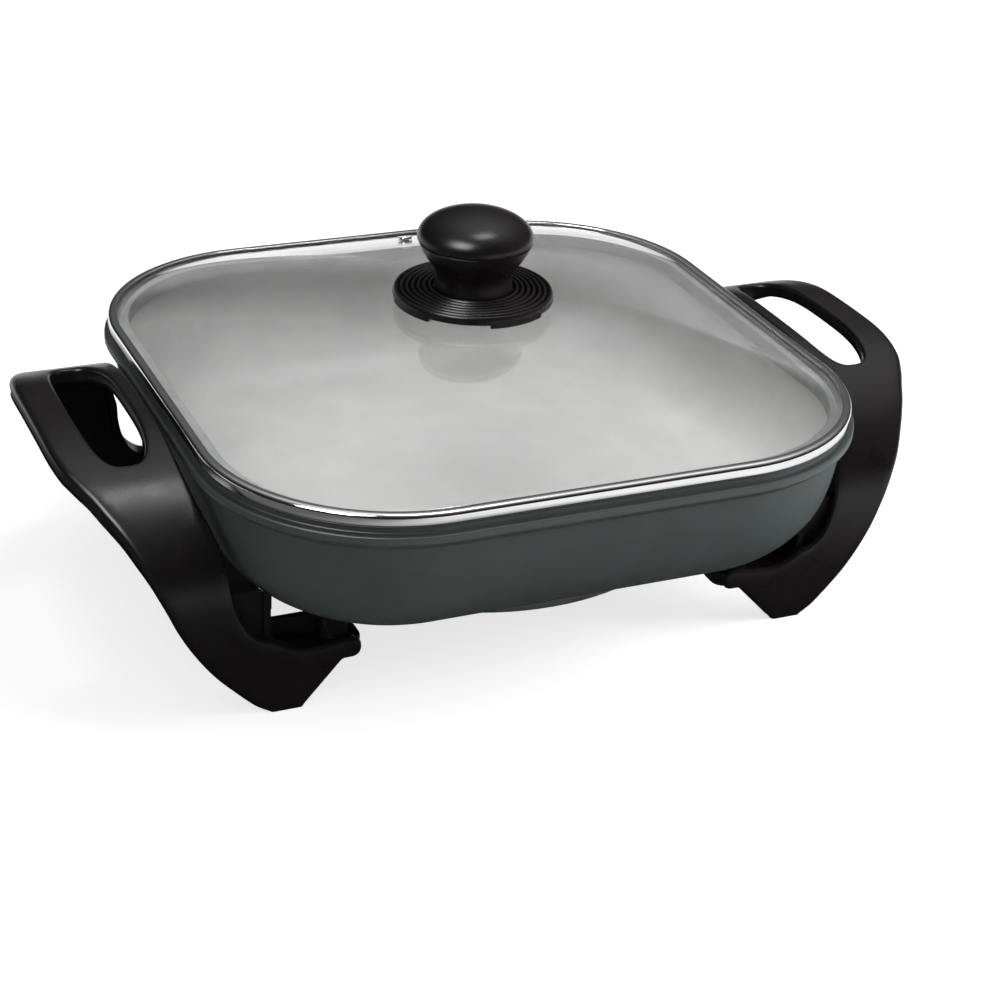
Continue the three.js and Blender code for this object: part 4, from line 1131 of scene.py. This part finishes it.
def make_disc(plastic):
    """The disc under the knob, with ridges that rise towards the knob."""
    pitch = (DISC_HIGH.x - RIDGE_START) / RIDGE_COUNT
    ridges = []
    for ridge in reversed(range(RIDGE_COUNT)):
        inner = RIDGE_START + ridge * pitch
        for share in np.linspace(1, 0, RIDGE_STEPS + 1)[:-1]:
            up = math.sin(math.pi * share) ** RIDGE_POWER
            rise = RIDGE_RISE * (1 - (ridge + share) / RIDGE_COUNT)
            ridges.append((inner + share * pitch, DISC_TOP - RIDGE_DEPTH * (1 - up) + rise))
    base = DISC_TOP - RIDGE_DEPTH
    skirt = DISC_HIGH.x - DISC_SKIRT
    under = base - DISC_SHEET
    profile = [
        (DISC_HIGH.x, DISC_LOW.z + DISC_EDGE), (DISC_HIGH.x, base - DISC_STEP), *ridges,
        (RIDGE_START - GAP, base + RIDGE_RISE), (RIDGE_START - 2 * GAP, DISC_HIGH.z),
        (KNOB_BORE, DISC_HIGH.z), (KNOB_BORE, DISC_LOW.z), (DISC_HUB, DISC_LOW.z),
        (DISC_HUB, under), (skirt, under), (skirt, DISC_LOW.z),
        (DISC_HIGH.x - DISC_EDGE, DISC_LOW.z),
    ]
    disc = turned("knob_disc", profile, ROUND_STEPS, closed=True)
    first = math.radians(NOTCH_TURN_DEGREES)
    notches = [notch(first + k / NOTCH_COUNT * 2 * math.pi) for k in range(NOTCH_COUNT)]
    cut(disc, notches)
    finished(disc, "knob_base_disc", plastic)


# Fasteners and seals


def make_screw(node, radius, steel):
    """A pan-head screw with a cross recess, from the box of its node. It is driven upwards."""
    low, high = corners(node)
    head = (high.x - low.x) / 2
    under = low.z + HEAD_DEPTH_SHARE * head
    profile = filleted([
        (0, low.z), (head, low.z), (head, under), (radius, under), (radius, high.z - SCREW_TIP),
        (radius - SCREW_TIP, high.z), (0, high.z),
    ], [0, HEAD_ROUND_SHARE * head, *SCREW_ROUNDS, 0], closed=False)
    screw = turned(f"{node}_shape", profile)
    arm, reach = RECESS_ARM_SHARE * head, RECESS_REACH_SHARE * head
    start, end = low.z - OVERRUN, low.z + RECESS_DEPTH_SHARE * head
    recess = [block((-x, -y, start), (x, y, end)) for x, y in ((reach, arm), (arm, reach))]
    cut(screw, recess)
    finished(moved(screw, (*((low + high) / 2).xy, 0)), node, steel)


def make_washer(node, bore, material):
    low, high = corners(node)
    section = rounded_box((bore, low.z), ((high.x - low.x) / 2, high.z), WASHER_ROUND)
    ring = turned(f"{node}_shape", section, closed=True)
    finished(moved(ring, (*((low + high) / 2).xy, 0)), node, material)


def make_fasteners(steel, rubber):
    for place in ("front", "back"):
        make_screw(f"probe_guard_screw_{place}", GUARD_SCREW_RADIUS, steel)
        for side in ("left", "right"):
            make_screw(f"{side}_handle_screw_{place}", SCREW_RADIUS, steel)
            make_washer(f"{side}_handle_washer_{place}", SCREW_BORE, steel)
    make_screw("knob_screw", KNOB_SCREW_RADIUS, steel)
    make_washer("knob_washer", KNOB_BORE, steel)
    for place in ("upper", "lower"):
        make_washer(f"knob_seal_{place}", KNOB_BORE, rubber)


# Room


def calculated(tree, operation, first, second):
    return add_node(tree, "Math", {0: first, 1: second}, operation=operation)


def ray_mix(tree, rays, seen, rest):
    """One shader for rays of the named kinds and one for all others."""
    factor, *others = (add_node(tree, "LightPath", {}, kind) for kind in rays)
    for other in others:
        factor = calculated(tree, "MAXIMUM", factor, other)
    return add_node(tree, "MixShader", {0: factor, 1: rest, 2: seen})


def make_world():
    """A white room for the camera. Gloss meets a room that is dark in front and bright behind,
    and what lies under the glass gets its light from LIT_SIDE."""
    world = bpy.data.worlds.new("studio")
    bpy.context.scene.world = world
    world.use_nodes = True
    tree = world.node_tree
    tree.nodes.clear()
    place = add_node(tree, "TexCoord", {}, "Generated")

    def towards(side):
        return add_node(tree, "VectorMath", {0: place, 1: side}, "Value", operation="DOT_PRODUCT")

    def background(strength, colour=(1, 1, 1, 1)):
        return add_node(tree, "Background", {"Color": colour, "Strength": strength})

    levels = [(position, (level,) * 3) for position, level in GLOSS_LEVELS]
    mirrored_room = add_ramp(tree, towards(BRIGHT_SIDE), levels)
    through = add_node(tree, "Mix", {
        "A": 1,
        "B": spanned(tree, towards(LIT_SIDE), LIT_SPAN),
        "Factor": spanned(tree, towards((0, 0, 1)), HORIZON_SPAN),
    })
    light = background(LIGHT_STRENGTH)
    inner = ray_mix(tree, ["Is Glossy Ray"], background(1, mirrored_room), light)
    clear = ray_mix(tree, ["Is Transmission Ray"], background(through), inner)
    outer = ray_mix(tree, ["Is Camera Ray"], background(1), clear)
    tree.links.new(outer, tree.nodes.new("ShaderNodeOutputWorld").inputs["Surface"])


def make_floor():
    """A pale floor that glows towards white for the camera and keeps the shadow. Gloss meets a
    floor with a painted shadow: dark in front of the skillet and under it, white to its right and
    behind."""
    half = FLOOR_HALF
    floor = mesh_piece("floor", [(-half, -half, 0), (half, -half, 0), (half, half, 0),
                                 (-half, half, 0)], [(0, 1, 2, 3)])
    material = bpy.data.materials.new("floor")
    material.use_nodes = True
    tree = material.node_tree
    tree.nodes.clear()

    def diffuse(level):
        return add_node(tree, "BsdfDiffuse", {"Color": (level, level, level, 1)})

    def glow(strength):
        return add_node(tree, "Emission", {"Color": (1, 1, 1, 1), "Strength": strength})

    seen = add_node(tree, "AddShader", {0: diffuse(FLOOR_SEEN), 1: glow(FLOOR_GLOW)})
    place = add_node(tree, "TexCoord", {}, "Object")
    distance = add_node(tree, "VectorMath", {0: place}, "Value", operation="LENGTH")
    across = spanned(tree, add_node(tree, "SeparateXYZ", {0: place}, "X"), FLOOR_ACROSS)
    behind = spanned(tree, add_node(tree, "SeparateXYZ", {0: place}, "Y"), FLOOR_BEHIND)
    away = spanned(tree, distance, FLOOR_AWAY)
    # For gloss the floor gets a painted shadow, dark near the skillet and in front of it
    level = calculated(tree, "MAXIMUM", calculated(tree, "MULTIPLY", across, away), behind)
    unseen = ray_mix(tree, ["Is Glossy Ray"], glow(level), diffuse(FLOOR_PALE))
    joined = ray_mix(tree, ["Is Camera Ray", "Is Transmission Ray"], seen, unseen)
    tree.links.new(joined, tree.nodes.new("ShaderNodeOutputMaterial").inputs["Surface"])
    floor.data.materials.append(material)


def make_lamp(name, place, size, power, gloss=True, diffuse=True):
    """A soft lamp facing the skillet, which gloss or plain surfaces may be kept from."""
    data = bpy.data.lights.new(name, "AREA")
    data.shape = "RECTANGLE"
    data.size, data.size_y = size[0] * MM, size[1] * MM
    data.energy = power
    lamp = new_object(name, data)
    away = Vector(place) - Vector(LAMP_TARGET)
    lamp.location = Vector(place) * MM
    lamp.rotation_mode = "QUATERNION"
    lamp.rotation_quaternion = away.to_track_quat("Z", "Y")
    lamp.visible_glossy = gloss
    lamp.visible_diffuse = diffuse
    lamp.visible_transmission = gloss and diffuse


make_camera()
coat = coating("pan coating", (0.049, 0.06, 0.058), (0.056, 0.07, 0.067), 0.36, 0.46, 0.12)
lining = coating("pan lining", (0.47, 0.467, 0.458), (0.53, 0.526, 0.517), 0.3, 0.4, 0.08)
plastic = surface("handle plastic",
                  ((25, 5, 0.6), (0.006, 0.0046, 0.0048), (0.0095, 0.0072, 0.0074)),
                  ((70, 4), 0.26, 0.33), ((1900, 2), 0.12, 0.06),
                  IOR=1.45, Specular_IOR_Level=0.4)
chrome = metal("chrome", (0.86, 0.86, 0.87), (0.9, 0.9, 0.91), 0.05, 0.1, 0.02, 200)
# Darker steel for the rim's faces under the glass, as painted shade
rim_shade_steel = metal("rim steel with painted shade", (0.34, 0.345, 0.34), (0.42, 0.425, 0.42), 0.45, 0.55, 0.06)
bright_steel = metal("plated steel", (0.56, 0.57, 0.58), (0.68, 0.69, 0.7), 0.22, 0.34)
guard_steel = metal("guard steel", (0.5, 0.51, 0.52), (0.6, 0.61, 0.62), 0.3, 0.42)
cast = metal("cast aluminium", (0.76, 0.77, 0.77), (0.84, 0.85, 0.85), 0.34, 0.46, 0.12, 900)
sheath = metal("element sheath", (0.2, 0.19, 0.18), (0.34, 0.32, 0.3), 0.4, 0.55, 0.1)
brass = metal("brass", (0.6, 0.43, 0.18), (0.72, 0.54, 0.26), 0.25, 0.35)
glass = surface("glass", ((8, 2), (0.968, 0.976, 0.972), (0.984, 0.99, 0.987)),
                ((30, 3), 0.0, 0.012), Transmission_Weight=1.0, IOR=1.5)
rubber = surface("silicone", ((200, 3), (0.018, 0.018, 0.019), (0.03, 0.03, 0.031)),
                 ((400, 3), 0.6, 0.75), IOR=1.4)
ceramic = surface("ceramic", ((300, 4), (0.72, 0.69, 0.6), (0.82, 0.79, 0.71)),
                  ((500, 3), 0.45, 0.6))

make_pan(coat, lining, plastic)
make_heater_ring(cast)
make_heater(sheath, bright_steel, ceramic)
make_guard(guard_steel)
make_legs(plastic)
make_glass(glass)
make_lid_rim(chrome, rim_shade_steel)
make_vent(chrome, rubber)
make_knob(plastic, brass)
make_disc(plastic)
make_fasteners(bright_steel, rubber)

make_world()
make_floor()
make_lamp("left", (-1000, -600, 1550), (900, 900), 38, diffuse=False)
make_lamp("right", (1600, -450, 600), (900, 900), 36, gloss=False)
make_lamp("top", (270, 80, 1580), (250, 500), 4.5)
bpy.context.scene.view_settings.view_transform = "Standard"
